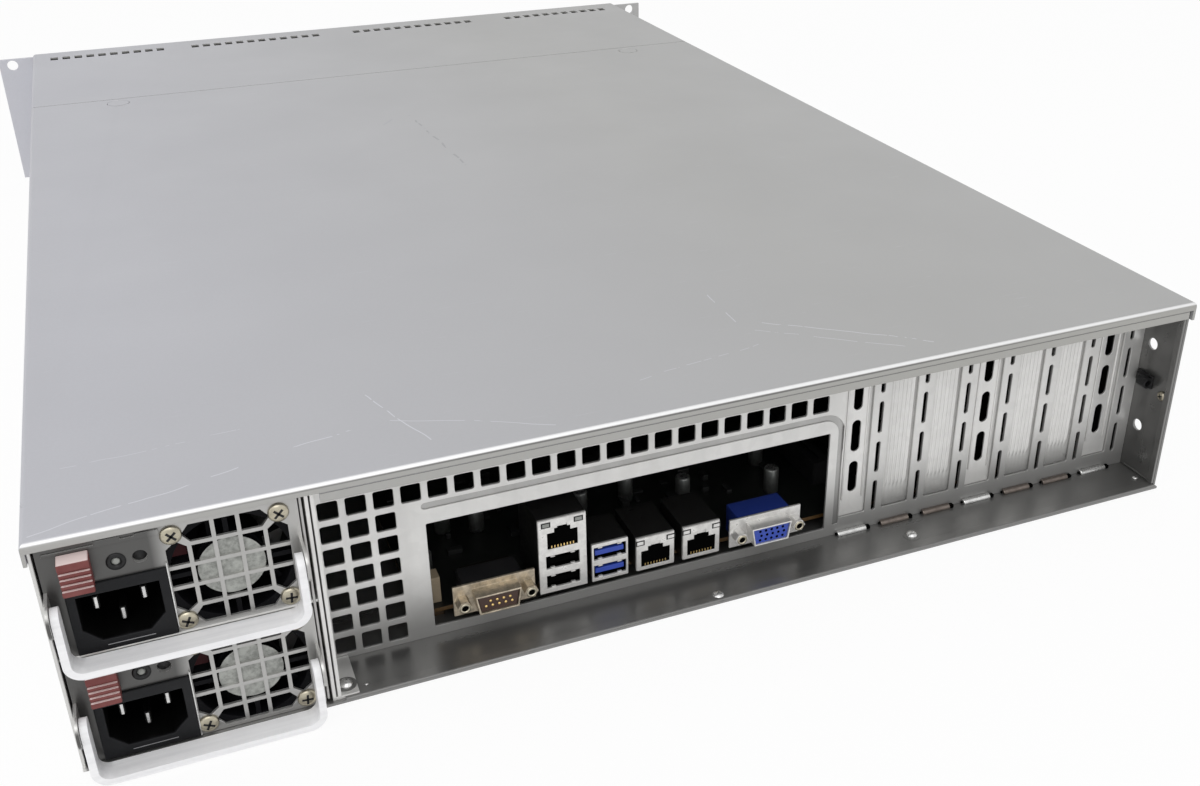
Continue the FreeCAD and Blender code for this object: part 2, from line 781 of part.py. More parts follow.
def main_board():
    """The board on its standoffs, the slot connectors, the coolers and the memory modules."""
    right = "(board_left + board_width)"
    far = f"({BOARD_REAR} + board_length)"
    board = box("board_left", right, BOARD_REAR, far, BOARD_FLOOR, BOARD_TOP)
    standoffs = []
    for x in ("board_left + standoff_inset", f"(board_left + {right}) / 2", f"{right} - standoff_inset"):
        for y in (f"{BOARD_REAR} + standoff_inset", f"({BOARD_REAR} + {far}) / 2", f"{far} - standoff_inset"):
            standoffs.append(hexagon("standoff_width", x, y, "sheet", "standoff_height"))
    node("main_board", group(board, *standoffs))
    connectors = []
    for slot in range(whole("slot_count") - 1):
        centre = f"(slot_first + {slot} * slot_pitch)"
        near = f"({BOARD_REAR} + slot_connector_setback)"
        block = box(f"{centre} - slot_connector_width / 2", f"{centre} + slot_connector_width / 2", near,
                    f"{near} + slot_connector_length", BOARD_TOP, f"{BOARD_TOP} + slot_connector_height")
        mouth = box(f"{centre} - sheet / 2", f"{centre} + sheet / 2", f"{near} + 2 * sheet",
                    f"{near} + slot_connector_length - 2 * sheet",
                    f"{BOARD_TOP} + slot_connector_height / 3", f"{BOARD_TOP} + 2 * slot_connector_height")
        connectors.append(cut(block, mouth))
    node("slot_connectors", group(*connectors))
    sinks = []
    modules = []
    for line, sign in enumerate("-+"):
        middle = f"(sink_centre {sign} sink_spread / 2)"
        sinks += heat_sink(line, middle)
        for bank in "-+":
            for step in range(whole("memory_count")):
                reach = f"(sink_size / 2 + memory_first + {step} * memory_pitch)"
                x = f"({middle} {bank} {reach} - memory_sheet / 2)"
                modules.append(box(x, f"{x} + memory_sheet",
                                   f"{SINK_LINE} - memory_length / 2", f"{SINK_LINE} + memory_length / 2",
                                   BOARD_TOP, f"{BOARD_TOP} + memory_height"))
    node("cpu_heatsinks", group(*sinks))
    node("memory_modules", group(*modules))


def heat_sink(line, middle):
    """A cooler's base and its row of bonded fins, which run along the air flow."""
    body = new_body(f"heat_sink_{line}")
    base = rectangle(f"{middle} - sink_size / 2", f"{middle} + sink_size / 2",
                     BOARD_TOP, f"{BOARD_TOP} + sink_base")
    pad(body, sketch(body, "XZ_Plane", f"-{SINK_LINE}", base), "sink_size", True)
    fins = []
    for step in range(whole("sink_fin_count")):
        x = f"({middle} - sink_size / 2 + {step} * (sink_size - sink_fin) / (sink_fin_count - 1))"
        fins.append(box(x, f"{x} + sink_fin", f"{SINK_LINE} - sink_size / 2", f"{SINK_LINE} + sink_size / 2",
                        f"{BOARD_TOP} + sink_base", f"{BOARD_TOP} + sink_height"))
    return [body, *fins]


def port_block(port):
    """The limits of a connector that stands on the board and reaches through the window."""
    near = f"({PANEL} - port_proud)"
    return (f"{port}_left", f"({port}_left + {port}_width)", near, f"({near} + {port}_depth)",
            BOARD_TOP, f"({BOARD_TOP} + {port}_height)")


def socket(port, mouth):
    """A rectangular mouth in a connector."""
    x0, x1, near, far, base, _ = port_block(port)
    sill = f"({base} + {mouth}_sill)"
    return box(f"{x0} + {mouth}_margin", f"{x1} - {mouth}_margin", f"{near} - sheet", f"{far} - mouth_end",
               sill, f"{sill} + {mouth}_opening")


def tongue(port, mouth):
    """The contact tongue inside a mouth."""
    x0, x1, near, far, base, _ = port_block(port)
    low = f"({base} + {mouth}_sill + tongue_lift)"
    return box(f"{x0} + {mouth}_margin + tongue_side", f"{x1} - {mouth}_margin - tongue_side",
               f"{near} + tongue_setback", far, low, f"{low} + tongue_height")


def d_connector(port):
    """A nine-way or fifteen-way connector: flange, raised shell and two jack posts."""
    x0, x1, near, far, base, top = port_block(port)
    centre = f"({x0} + {port}_width / 2)"
    level = f"({base} + {port}_height / 2)"
    flange = box(x0, x1, near, f"{near} + flange_sheet", base, top)
    housing = box(f"{centre} - housing_width / 2", f"{centre} + housing_width / 2", f"{near} + flange_sheet",
                  far, base, f"{base} + housing_height")
    shell = new_body(f"{port}_shell")
    pad(shell, sketch(shell, "XZ_Plane", f"-{near}", shell_section(centre, level, "0")), "shell_reach")
    inside = shell_section(centre, level, "shell_sheet")
    pocket(shell, sketch(shell, "XZ_Plane", f"-{near} + shell_reach", inside),
           "2 * (shell_reach - shell_floor)")
    posts = [hexagon("post_width", f"{centre} {sign} post_spread / 2", f"{near} - post_reach", level,
                     "post_reach", "y") for sign in "-+"]
    return fuse(flange, housing, shell, *posts)


def shell_section(centre, level, inset):
    """The tapering section of a connector's shell, drawn in by an inset."""
    foot = f"(shell_foot / 2 - {inset})"
    head = f"(shell_head / 2 - {inset})"
    half = f"(shell_height / 2 - {inset})"
    return outline((f"{centre} - {foot}", f"{level} - {half}"), (f"{centre} + {foot}", f"{level} - {half}"),
                   (f"{centre} + {head}", f"{level} + {half}"), (f"{centre} - {head}", f"{level} + {half}"))


def ports():
    """The connectors that stand in the rear window."""
    node("serial_port", d_connector("serial"))
    node("display_port", d_connector("display"))
    tall = ("tall_middle", "tall_lower")
    double = ("double_upper", "double_lower")
    for label, port, mouths, tongues in (("network_usb_stack", "tall", ("tall_upper", *tall), tall),
                                         ("usb_stack", "double", double, double)):
        shell = cut(box(*port_block(port)), *(socket(port, mouth) for mouth in mouths))
        node(label, fuse(shell, *(tongue(port, mouth) for mouth in tongues)))
    jacks = [cut(box(*port_block(port)), socket(port, "network"))
             for port in ("left_network", "right_network")]
    node("network_ports", group(*jacks))


# ---------------------------------------------------------------- fans

def rotor(label, x, y, z, hub, tip, depth):
    """A hub with slanted blades, turning about Y; its origin is the shaft's middle."""
    body = new_body(label)
    place(body, x, y, z)
    pad(body, sketch(body, "XZ_Plane", "0", circle("0", "0", hub)), depth, True)
    reach = f"({hub} * blade_slant)"
    rise = f"({depth} * blade_rise)"
    section = outline((f"-{reach}", f"-{rise}"), (f"-{reach} + blade_sheet", f"-{rise}"), (reach, rise),
                      (f"{reach} - blade_sheet", rise))
    root = f"({hub} * blade_root)"
    blade = pad(body, sketch(body, "XY_Plane", root, section), f"{tip} * blade_tip - {root}")
    polar_pattern(body, blade, "Y_Axis", whole("blade_count"))
    node(label, body)


def cooler_row():
    """Three large fans in a holder behind the drive bays."""
    near = f"({FRONT} - cooler_setback)"
    far = f"({near} + cooler_depth)"
    low = "(sheet + cooler_lift)"
    level = f"({low} + cooler_size / 2)"
    reach = "(cooler_size / 2 - cooler_wall / 3)"
    inlet_half = "(cooler_size / 2 - cooler_wall)"
    housings = []
    inlets = []
    for step in range(whole("cooler_count")):
        x = f"(cooler_first + {step} * cooler_pitch)"
        frame = box(f"{x} - cooler_size / 2", f"{x} + cooler_size / 2", near, far,
                    low, f"{low} + cooler_size")
        bore = rod("cooler_bore", x, f"{near} - sheet", level, "cooler_depth + 2 * sheet", "y")
        back = f"{far} - cooler_stator"
        supports = [box(f"{x} - {across}", f"{x} + {across}", back, far,
                        f"{level} - {rise}", f"{level} + {rise}")
                    for across, rise in (("cooler_stator_width / 2", "cooler_stator_width / 2"),
                                         (reach, "cooler_wall / 2"), ("cooler_wall / 2", reach))]
        housings.append(fuse(cut(frame, bore), *supports))
        inlets.append(box(f"{x} - {inlet_half}", f"{x} + {inlet_half}",
                          f"{near} - 3 * sheet", f"{near} + sheet",
                          f"{level} - {inlet_half}", f"{level} + {inlet_half}"))
        rotor(f"cooler_rotor_{step + 1}", x,
              f"{far} - cooler_stator - rotor_gap - cooler_rotor_depth / 2", level,
              "cooler_hub", "cooler_tip", "cooler_rotor_depth")
    node("cooler_housings", group(*housings))
    face = box(f"{BAY_RIGHT} + sheet", INSIDE, f"{near} - sheet", near, "sheet", RIM)
    foot = box(f"{BAY_RIGHT} + sheet", INSIDE, near, far, "sheet", low)
    node("cooler_holder", fuse(cut(face, *inlets), foot))


# ---------------------------------------------------------------- power supplies

def power_supply(name, level):
    """One module: case, inlet, fan frame and rotor, release latch and folding bail."""
    base = f"(psu_floor + {level} * psu_pitch)"
    fan_x = f"({PSU_LEFT} + fan_from_side)"
    fan_z = f"({base} + psu_height / 2)"
    face_back = f"({PSU_FACE} + psu_face)"
    half = "(fan_frame / 2)"
    node(f"{name}_case", psu_case(base, fan_x, fan_z, face_back))
    node(f"{name}_inlet", inlet(f"{name}_inlet", base))
    frame = box(f"{fan_x} - {half}", f"{fan_x} + {half}", face_back, f"{face_back} + fan_frame_depth",
                f"{fan_z} - {half}", f"{fan_z} + {half}")
    bore = rod("fan_bore", fan_x, f"{PSU_FACE} - sheet", fan_z, "fan_frame_depth + 4 * sheet", "y")
    reach = f"({half} - fan_fit)"
    supports = [box(f"{fan_x} - {across}", f"{fan_x} + {across}", face_back, f"{face_back} + fan_stator",
                    f"{fan_z} - {rise}", f"{fan_z} + {rise}")
                for across, rise in (("fan_stator_width / 2", "fan_stator_width / 2"),
                                     (reach, "fan_strut / 2"), ("fan_strut / 2", reach))]
    node(f"{name}_fan_frame", fuse(cut(frame, bore), *supports))
    rotor(f"{name}_rotor", fan_x, f"{face_back} + fan_stator + rotor_gap + rotor_depth / 2", fan_z,
          "fan_hub", "rotor_tip", "rotor_depth")
    node(f"{name}_latch", latch(base))
    bail(f"{name}_handle", base)


def psu_case(base, fan_x, fan_z, face_back):
    """The case: grille, fan chamber, inlet chamber, latch slot, lamp hole and the bail's two ears."""
    near = f"{PSU_FACE} - sheet"
    block = box(PSU_LEFT, PSU_RIGHT, PSU_FACE, f"{PSU_FACE} + psu_depth", base, f"{base} + psu_height")
    half = "(fan_frame / 2 + fan_fit)"
    chamber = box(f"{fan_x} - {half}", f"{fan_x} + {half}", face_back,
                  f"{face_back} + fan_frame_depth + rotor_gap", f"{fan_z} - {half}", f"{fan_z} + {half}")
    grille = punch(f"{face_back} + sheet / 2", "psu_face + 2 * sheet", *grille_cells(fan_x, fan_z))
    x = f"({PSU_LEFT} + inlet_from_side)"
    z = f"({base} + inlet_low)"
    mains = box(x, f"{x} + inlet_width", near, f"{PSU_FACE} + inlet_depth - inlet_proud",
                z, f"{z} + inlet_height")
    stem_z = f"({base} + latch_low + latch_height / 2)"
    stem_room = box(f"{LATCH_STEM} - latch_gap", f"{LATCH_STEM} + latch_stem_width + latch_travel + latch_gap",
                    near, f"{PSU_FACE} + latch_stem_depth + latch_gap",
                    f"{stem_z} - latch_stem_height / 2 - latch_gap",
                    f"{stem_z} + latch_stem_height / 2 + latch_gap")
    lamp = f"({PSU_LEFT} + lamp_from_side)"
    lamps = [rod(radius, place_x, near, f"{base} + lamp_height", "4 * sheet", "y")
             for place_x, radius in ((lamp, "lamp_radius"),
                                     (f"{lamp} + lamp_hole_pitch", "lamp_hole_radius"))]
    ears = []
    pivot = f"({base} + bail_pivot)"
    for x0, x1 in ((PSU_LEFT, f"{PSU_LEFT} + ear_sheet"), (f"{PSU_RIGHT} - ear_sheet", PSU_RIGHT)):
        plate = box(x0, x1, BAIL_LINE, PSU_FACE, f"{pivot} - ear_height / 2", f"{pivot} + ear_height / 2")
        boss = rod("ear_height / 2", x0, BAIL_LINE, pivot, "ear_sheet", "x")
        hole = rod("bail_pin + bail_pin_fit", f"{x0} - sheet", BAIL_LINE, pivot, "ear_sheet + 2 * sheet", "x")
        ears.append(cut(fuse(plate, boss), hole))
    return fuse(cut(block, chamber, grille, mains, stem_room, *lamps), *ears)


def grille_cells(fan_x, fan_z):
    """The grille's cells; the four corners are left to screws, and a cell beside one ends in a point."""
    last = whole("grille_rows") - 1
    half = "(grille_cell / 2)"
    cells = []
    for column in range(last + 1):
        for line in range(last + 1):
            if column in (0, last) and line in (0, last):
                continue
            x = f"({fan_x} + ({column} - (grille_rows - 1) / 2) * grille_pitch)"
            z = f"({fan_z} + ({line} - (grille_rows - 1) / 2) * grille_pitch)"
            corners = [(f"{x} {a} {half}", f"{z} {b} {half}") for a, b in ("--", "+-", "++", "-+")]
            if line in (0, last) and column in (1, last - 1):
                sign, position = ("-", 4) if column == 1 else ("+", 2)
                corners.insert(position, (f"{x} {sign} ({half} + grille_point)", z))
            if column in (0, last) and line in (1, last - 1):
                sign, position = ("-", 1) if line == 1 else ("+", 3)
                corners.insert(position, (x, f"{z} {sign} ({half} + grille_point)"))
            cells.append(outline(*corners))
    return cells


def latch(base):
    """The release latch: a ribbed thumb piece on a stem that slides towards the fan."""
    x = f"({PSU_LEFT} + latch_from_side)"
    z = f"({base} + latch_low)"
    front = f"({PSU_FACE} - latch_proud)"
    back = f"({PSU_FACE} - latch_gap)"
    thumb = box(x, f"{x} + latch_width", front, back, z, f"{z} + latch_height")
    notches = []
    for step in range(whole("latch_rib_count")):
        low = f"({z} + latch_rib_pitch * ({step} + 1))"
        notches.append(box(f"{x} - sheet", f"{x} + latch_width + sheet", f"{front} - sheet",
                           f"{front} + latch_rib", low, f"{low} + latch_rib_pitch / 2"))
    middle = f"({z} + latch_height / 2)"
    stem = box(LATCH_STEM, f"{LATCH_STEM} + latch_stem_width", back, f"{PSU_FACE} + latch_stem_depth",
               f"{middle} - latch_stem_height / 2", f"{middle} + latch_stem_height / 2")
    return fuse(cut(thumb, *notches), stem)


def bail(label, base):
    """The folding bail: a U-shaped strip with rounded corners, turning on two pins in the case's ears."""
    body = new_body(label)
    left = f"({PSU_LEFT} + ear_sheet + bail_gap)"
    right = f"({PSU_RIGHT} - ear_sheet - bail_gap)"
    pivot = f"({base} + bail_pivot)"
    head = f"({pivot} + bail_depth / 2)"
    low = f"({pivot} - bail_drop)"
    inner_low = f"({low} + bail_strip)"
    bend_in = "(bail_bend - bail_strip)"
    strip = outline((left, head), (left, low, "bail_bend"), (right, low, "bail_bend"), (right, head),
                    (f"{right} - bail_strip", head), (f"{right} - bail_strip", inner_low, bend_in),
                    (f"{left} + bail_strip", inner_low, bend_in), (f"{left} + bail_strip", head))
    pad(body, sketch(body, "XZ_Plane", f"-{BAIL_LINE}", strip), "bail_depth", True)
    height = number(head)
    round_edges(body, "bail_depth / 2 - bail_pin_fit",
                lambda limits: limits.XLength > 1 and limits.YLength < 0.01 and limits.ZMin > height - 0.01)
    pin = circle(BAIL_LINE, pivot, "bail_pin")
    for start in (f"{PSU_LEFT} + bail_pin_fit", right):
        pad(body, sketch(body, "YZ_Plane", start, pin), "ear_sheet + bail_gap - bail_pin_fit")
    node(label, body)


def inlet(label, base):
    """The mains inlet: a flanged block with a chamfered mouth and three blades."""
    body = new_body(label)
    x = f"({PSU_LEFT} + inlet_from_side)"
    z = f"({base} + inlet_low)"
    near = f"({PSU_FACE} - inlet_proud)"
    block = rectangle(x, f"{x} + inlet_width", z, f"{z} + inlet_height")
    pad(body, sketch(body, "XZ_Plane", f"-{near} - inlet_depth", block), "inlet_depth")
    middle = f"({x} + inlet_width / 2)"
    low = f"({z} + (inlet_height - socket_height) / 2)"
    left = f"({middle} - socket_width / 2)"
    right = f"({middle} + socket_width / 2)"
    high = f"({low} + socket_height)"
    mouth = outline((f"{left} + socket_chamfer", low), (f"{right} - socket_chamfer", low),
                    (right, f"{low} + socket_chamfer"), (right, high), (left, high),
                    (left, f"{low} + socket_chamfer"))
    pocket(body, sketch(body, "XZ_Plane", f"-{near}", mouth), "2 * socket_depth")
    level = f"({high} - inlet_pin_drop)"
    blades = []
    for shift, lower in (("-inlet_pin_pitch / 2", 0), ("0", 1), ("inlet_pin_pitch / 2", 0)):
        centre = f"({middle} + {shift})"
        centre_z = f"({level} - {lower} * inlet_pin_drop)"
        blades.append(rectangle(f"{centre} - inlet_pin_width / 2", f"{centre} + inlet_pin_width / 2",
                                f"{centre_z} - inlet_pin_height / 2", f"{centre_z} + inlet_pin_height / 2"))
    pad(body, sketch(body, "XZ_Plane", f"-{near} - socket_depth", *blades), "inlet_pin_length")
    return body


def power_distributor():
    """The closed box that the two modules plug into."""
    end = f"({PSU_FACE} + psu_depth)"
    block = box(f"-{INSIDE}", BAY_WALL, end, f"{end} + 2 * fan_frame", "sheet", f"{RIM} - sheet")
    node("power_distributor", block)


# ---------------------------------------------------------------- drive bays and front

def drive_cage():
    """Uprights, shelves and a top sheet that form the bays."""
    sheets = []
    for column in range(whole("drive_columns") + 1):
        x = f"(-{INSIDE} + {column} * ({COLUMN} + sheet))"
        sheets.append(box(x, f"{x} + sheet", CAGE_REAR, f"{FRONT} - bezel_depth", "sheet", CAGE_TOP))
    for line in range(1, whole("drive_rows") + 1):
        z = f"(sheet + {line} * (bay_height + sheet) - sheet)"
        sheets.append(box(f"-{INSIDE}", INSIDE, CAGE_REAR, f"{FRONT} - bezel_depth", z, f"{z} + sheet"))
    node("drive_cage", fuse(*sheets))
    back = f"({CAGE_REAR} - backplane_gap)"
    board = box(f"-{INSIDE}", INSIDE, f"{back} - backplane_sheet", back, "sheet", CAGE_TOP)
    vents = []
    for column in range(whole("drive_columns")):
        middle = f"(-{INSIDE} + sheet + {COLUMN} / 2 + {column} * ({COLUMN} + sheet))"
        for line in range(whole("drive_rows")):
            z = f"(sheet + {line} * (bay_height + sheet) + bay_height / 3)"
            vents.append(box(f"{middle} - backplane_vent / 2", f"{middle} + backplane_vent / 2",
                             f"{back} - 2 * backplane_sheet", f"{back} + backplane_sheet",
                             z, f"{z} + bay_height / 3"))
    node("drive_backplane", cut(board, *vents))


def drive_tray(column, line):
    """A drive tray with its vented bezel, and the lever that locks it."""
    name = f"{'abcdefgh'[column]}{line + 1}"
    x0 = f"(-{INSIDE} + sheet + {column} * ({COLUMN} + sheet) + tray_gap)"
    x1 = f"({x0} + {COLUMN} - 2 * tray_gap)"
    z0 = f"(sheet + {line} * (bay_height + sheet) + tray_gap)"
    z1 = f"({z0} + bay_height - 2 * tray_gap)"
    rear_face = f"({FRONT} - bezel_depth)"
    back_face = f"({rear_face} + bezel_back)"
    plate = box(x0, x1, rear_face, back_face, z0, z1)
    row = "((bezel_vent_count - 1) * bezel_vent_pitch + bezel_vent_width)"
    vents = []
    for step in range(whole("bezel_vent_count")):
        x = f"(({x0} + {x1} - {row}) / 2 + {step} * bezel_vent_pitch)"
        vents.append(box(x, f"{x} + bezel_vent_width", f"{rear_face} - sheet", f"{back_face} + sheet",
                         f"({z0} + {z1} - bezel_vent_height) / 2", f"({z0} + {z1} + bezel_vent_height) / 2"))
    pivot_x = f"({x0} + bezel_lug_width / 2)"
    pivot_y = f"({FRONT} - lever_sheet / 2 - lever_gap)"
    lugs = [box(x0, f"{x0} + bezel_lug_width", back_face, FRONT, low, high)
            for low, high in ((z0, f"{z0} + bezel_lug"), (f"{z1} - bezel_lug", z1))]
    hole = rod("lever_pin + lever_pin_fit", pivot_x, pivot_y, f"{z0} - sheet", "bezel_lug + 2 * sheet")
    stop = box(f"{x1} - bezel_lug", x1, back_face, FRONT, z0, z1)
    bezel = fuse(cut(plate, *vents), cut(lugs[0], hole), lugs[1], stop)
    tail = f"({rear_face} - tray_length)"
    rails = [box(a, b, tail, rear_face, z0, f"{z0} + tray_rail_height")
             for a, b in ((x0, f"{x0} + tray_rail"), (f"{x1} - tray_rail", x1))]
    tie = box(f"{x0} + tray_rail", f"{x1} - tray_rail", tail, f"{tail} + 2 * tray_rail",
              z0, f"{z0} + tray_rail_height / 4")
    node(f"drive_tray_{name}", group(bezel, *rails, tie))
    low = f"({z0} + bezel_lug + lever_gap)"
    high = f"({z1} - bezel_lug - lever_gap)"
    end = f"({x1} - bezel_lug - lever_gap)"
    start = f"({pivot_x} - lever_sheet / 2)"
    arm = box(start, end, f"{pivot_y} - lever_sheet / 2", f"{pivot_y} + lever_sheet / 2", low, high)
    pin = rod("lever_pin", pivot_x, pivot_y, z0, "2 * bezel_lug")
    row = "((lever_slot_count - 1) * lever_slot_pitch + lever_slot_width)"
    slots = []
    for step in range(whole("lever_slot_count")):
        x = f"(({start} + {end} - {row}) / 2 + {step} * lever_slot_pitch)"
        slots.append(box(x, f"{x} + lever_slot_width", f"{pivot_y} - lever_sheet", f"{pivot_y} + lever_sheet",
                         f"{low} + 2 * bezel_lug", f"{high} - 2 * bezel_lug"))
    node(f"drive_lever_{name}", fuse(cut(arm, *slots), pin))


def front_fascia():
    """The vented plate above the bays, and the control block with its two buttons."""
    near = f"({FRONT} - fascia_sheet)"
    low = f"({CAGE_TOP} + sheet)"
    left = f"(-{INSIDE} + control_width)"
    plate = box(left, INSIDE, near, FRONT, low, RIM)
    vents = []
    level = f"(({low} + {RIM}) / 2)"
    for step in range(whole("front_vent_count")):
        x = f"({left} + {step} * front_vent_pitch + front_vent_pitch)"
        vents.append(box(x, f"{x} + front_vent_width", f"{near} - sheet", f"{FRONT} + sheet",
                         f"{level} - front_vent_height / 2", f"{level} + front_vent_height / 2"))
    hook = box(left, INSIDE, f"{near} - panel_flange", near, f"{low} - sheet", low)
    node("front_fascia", fuse(cut(plate, *vents), hook))
    block = box(f"-{INSIDE}", left, f"{FRONT} - control_depth", FRONT, CAGE_TOP, RIM)
    bores = []
    for step, name in enumerate(("power", "reset")):
        x = f"(-{INSIDE} + control_width / 2 + ({step} - 0.5) * button_pitch)"
        bores.append(rod("button_radius + button_gap", x, f"{FRONT} - button_length - 2 * button_proud",
                         level, "button_length + 4 * button_proud", "y"))
        cap = new_body(f"{name}_button")
        ring = circle(x, level, "button_radius")
        pad(cap, sketch(cap, "XZ_Plane", f"-{FRONT} - button_proud", ring), "button_length")
        node(f"{name}_button", cap)
    node("control_panel", cut(block, *bores))


# ---------------------------------------------------------------- whole assembly

chassis_tray()
rear_panel()
slot_blanks()
psu_bay()
top_cover()
cover_tabs()
front_top_plate()
rack_ears()
cable_clip()
main_board()
ports()
cooler_row()
for level, name in enumerate(("psu_lower", "psu_upper")):
    power_supply(name, level)
power_distributor()
drive_cage()
for column in range(whole("drive_columns")):
    for line in range(whole("drive_rows")):
        drive_tray(column, line)
front_fascia()

doc.recompute()
broken = [item.Name for item in doc.Objects if {"Invalid", "Error"} & set(item.State)]
if broken:
    raise RuntimeError(f"features that failed: {broken}")
os.makedirs("parts", exist_ok=True)
for item in nodes:
    if item.Shape.isNull() or not item.Shape.isValid():
        raise RuntimeError(f"{item.Label} has no valid shape")
    item.Shape.exportStep(f"parts/{item.Label}.step")
print(len(nodes), "nodes,", sum(len(item.Shape.Solids) for item in nodes), "solids")
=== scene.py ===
import math
import random

import bmesh
import bpy
from bpy.props import FloatProperty, FloatVectorProperty, IntProperty, PointerProperty
from bpy.types import Operator, Panel, PropertyGroup
from mathutils import Matrix, Vector


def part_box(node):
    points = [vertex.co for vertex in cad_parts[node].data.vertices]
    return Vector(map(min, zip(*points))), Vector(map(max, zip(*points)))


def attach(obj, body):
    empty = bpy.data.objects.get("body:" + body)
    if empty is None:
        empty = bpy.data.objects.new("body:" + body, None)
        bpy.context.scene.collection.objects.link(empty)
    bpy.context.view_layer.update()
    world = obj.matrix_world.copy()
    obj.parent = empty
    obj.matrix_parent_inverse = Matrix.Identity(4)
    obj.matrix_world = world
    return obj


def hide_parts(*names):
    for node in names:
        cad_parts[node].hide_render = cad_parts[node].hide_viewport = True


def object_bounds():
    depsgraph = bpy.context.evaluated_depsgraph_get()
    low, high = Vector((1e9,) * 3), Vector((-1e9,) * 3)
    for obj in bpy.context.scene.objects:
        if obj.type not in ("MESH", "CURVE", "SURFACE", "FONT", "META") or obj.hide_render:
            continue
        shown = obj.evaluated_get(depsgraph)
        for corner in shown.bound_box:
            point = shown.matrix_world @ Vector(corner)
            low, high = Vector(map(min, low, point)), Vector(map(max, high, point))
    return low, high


bl_info = {
    "name": "Rack server dressing",
    "version": (1, 0, 0),
    "blender": (4, 5, 0),
    "location": "View3D > Sidebar > Server",
    "description": "Dresses a two-unit rack server with sheet steel, connectors, fixings and studio light",
    "category": "Object",
}

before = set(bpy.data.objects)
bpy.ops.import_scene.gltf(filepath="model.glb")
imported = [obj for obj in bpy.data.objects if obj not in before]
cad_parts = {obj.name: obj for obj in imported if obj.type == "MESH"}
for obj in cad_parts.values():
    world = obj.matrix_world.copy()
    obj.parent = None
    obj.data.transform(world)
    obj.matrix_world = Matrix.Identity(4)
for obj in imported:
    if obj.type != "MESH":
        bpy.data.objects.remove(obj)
CAD_LOW, CAD_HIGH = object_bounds()
MM = 0.001
LOW, HIGH = 0, 1
LEFT, RIGHT, REARWARD, FORWARD, UP = (-1, 0, 0), (1, 0, 0), (0, -1, 0), (0, 1, 0), (0, 0, 1)


def limits(node):
    """A CAD node's corners in millimetres."""
    low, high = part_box(node)
    return [value / MM for value in low], [value / MM for value in high]


def side(node, end, axis):
    """Where a CAD node ends on an axis, to a hundredth of a millimetre."""
    return round(limits(node)[end]["XYZ".index(axis)], 2)


def centre(node):
    """The middle of a CAD node across and upwards, to a thousandth of a millimetre."""
    low, high = limits(node)
    return round((low[0] + high[0]) / 2, 3), round((low[2] + high[2]) / 2, 3)


# Places in millimetres: X runs to the right, Y to the front and Z upwards, seen from the rear.
REAR = side("chassis_tray", LOW, "Y")
FRONT = side("front_fascia", HIGH, "Y")
PANEL = side("rear_panel", LOW, "Y")
PANEL_LEFT = side("rear_panel", LOW, "X")
WALL = side("rear_panel", HIGH, "X")
FLOOR = side("rear_panel", LOW, "Z")
COVER_TOP = side("top_cover", HIGH, "Z")
BOARD = side("memory_modules", LOW, "Z")
PORT_FACE = side("network_ports", LOW, "Y")
MODULE_FACE = -322

# The rear panel: window, square vents, expansion slots and the narrow slots in the ribs between them.
WINDOW = (-95.9, 65.1, 5.3, 49.75)
VENT, VENT_PITCH, VENT_LEFT, VENT_TOP = 7, 9.42, -131.8, 66.9
VENT_COLUMNS, VENT_ROWS, TALL_COLUMNS = 21, 7, 3
SLOTS = [77.5 + 20.32 * step for step in range(7)]
SLOT_HALF, SLOT_SILL, SLOT_HEAD = 6.2, 9, 78
RIB_LEFT, RIB_RIGHT, RIB_SILL, RIB_LENGTH, RIB_PITCH = 9.16, 11.16, 8.7, 14.2, 18.2
BLANK, BLANK_HALF = 0.8, 8.8
VENTED_BLANKS = (0, 3, 6)
CORNER = 0.8


# ---------------------------------------------------------------- sizes a user would change

class ServerColours(PropertyGroup):
    """Colours of the server's finishes, as linear values."""

    cover: FloatVectorProperty(name="Cover", description="Grey coat of the cover and front plate",
                               subtype="COLOR", size=3, min=0, max=1, default=(0.50, 0.503, 0.54))
    zinc: FloatVectorProperty(name="Zinc", description="Galvanised rear panel and tray",
                              subtype="COLOR", size=3, min=0, max=1, default=(0.74, 0.735, 0.72))
    plated: FloatVectorProperty(name="Plated", description="Plated power module sheet",
                                subtype="COLOR", size=3, min=0, max=1, default=(0.62, 0.615, 0.60))
    # Partly the strip's light tone, partly painted reflection: near white, and drawn without metal.
    strip: FloatVectorProperty(name="Bail strip", description="Satin strip of the bails",
                               subtype="COLOR", size=3, min=0, max=1, default=(0.95, 0.95, 0.965))
    latch: FloatVectorProperty(name="Latch", description="Dusty burgundy plastic of the release latch",
                               subtype="COLOR", size=3, min=0, max=1, default=(0.16, 0.026, 0.024))
    laminate: FloatVectorProperty(name="Laminate", description="Main board's edge and face",
                                  subtype="COLOR", size=3, min=0, max=1, default=(0.10, 0.055, 0.018))
    blue: FloatVectorProperty(name="Blue inserts", description="Inserts of the fast and display ports",
                              subtype="COLOR", size=3, min=0, max=1, default=(0.03, 0.07, 0.42))


class ServerSizes(PropertyGroup):
    """Sizes of the small parts."""

    edge: FloatProperty(name="Edge", description="Rounding of the sheet edges", unit="LENGTH",
                        default=0.00035, min=0.0)
    screw_radius: FloatProperty(name="Screw head", description="Radius of a fan screw's head",
                                unit="LENGTH", default=0.0033, min=0.0005)
    screw_height: FloatProperty(name="Screw height", description="Height of a fan screw's head",
                                unit="LENGTH", default=0.0014, min=0.0005)
    rivet_radius: FloatProperty(name="Rivet", description="Radius of a floor rivet's dome",
                                unit="LENGTH", default=0.0025, min=0.0005)
    wear: FloatProperty(name="Wear", description="Strength of the scratches on the cover",
                        subtype="FACTOR", default=0.6, min=0.0, max=1.0)
    capacitors: IntProperty(name="Capacitors", description="Capacitors near the window", default=9, min=0)


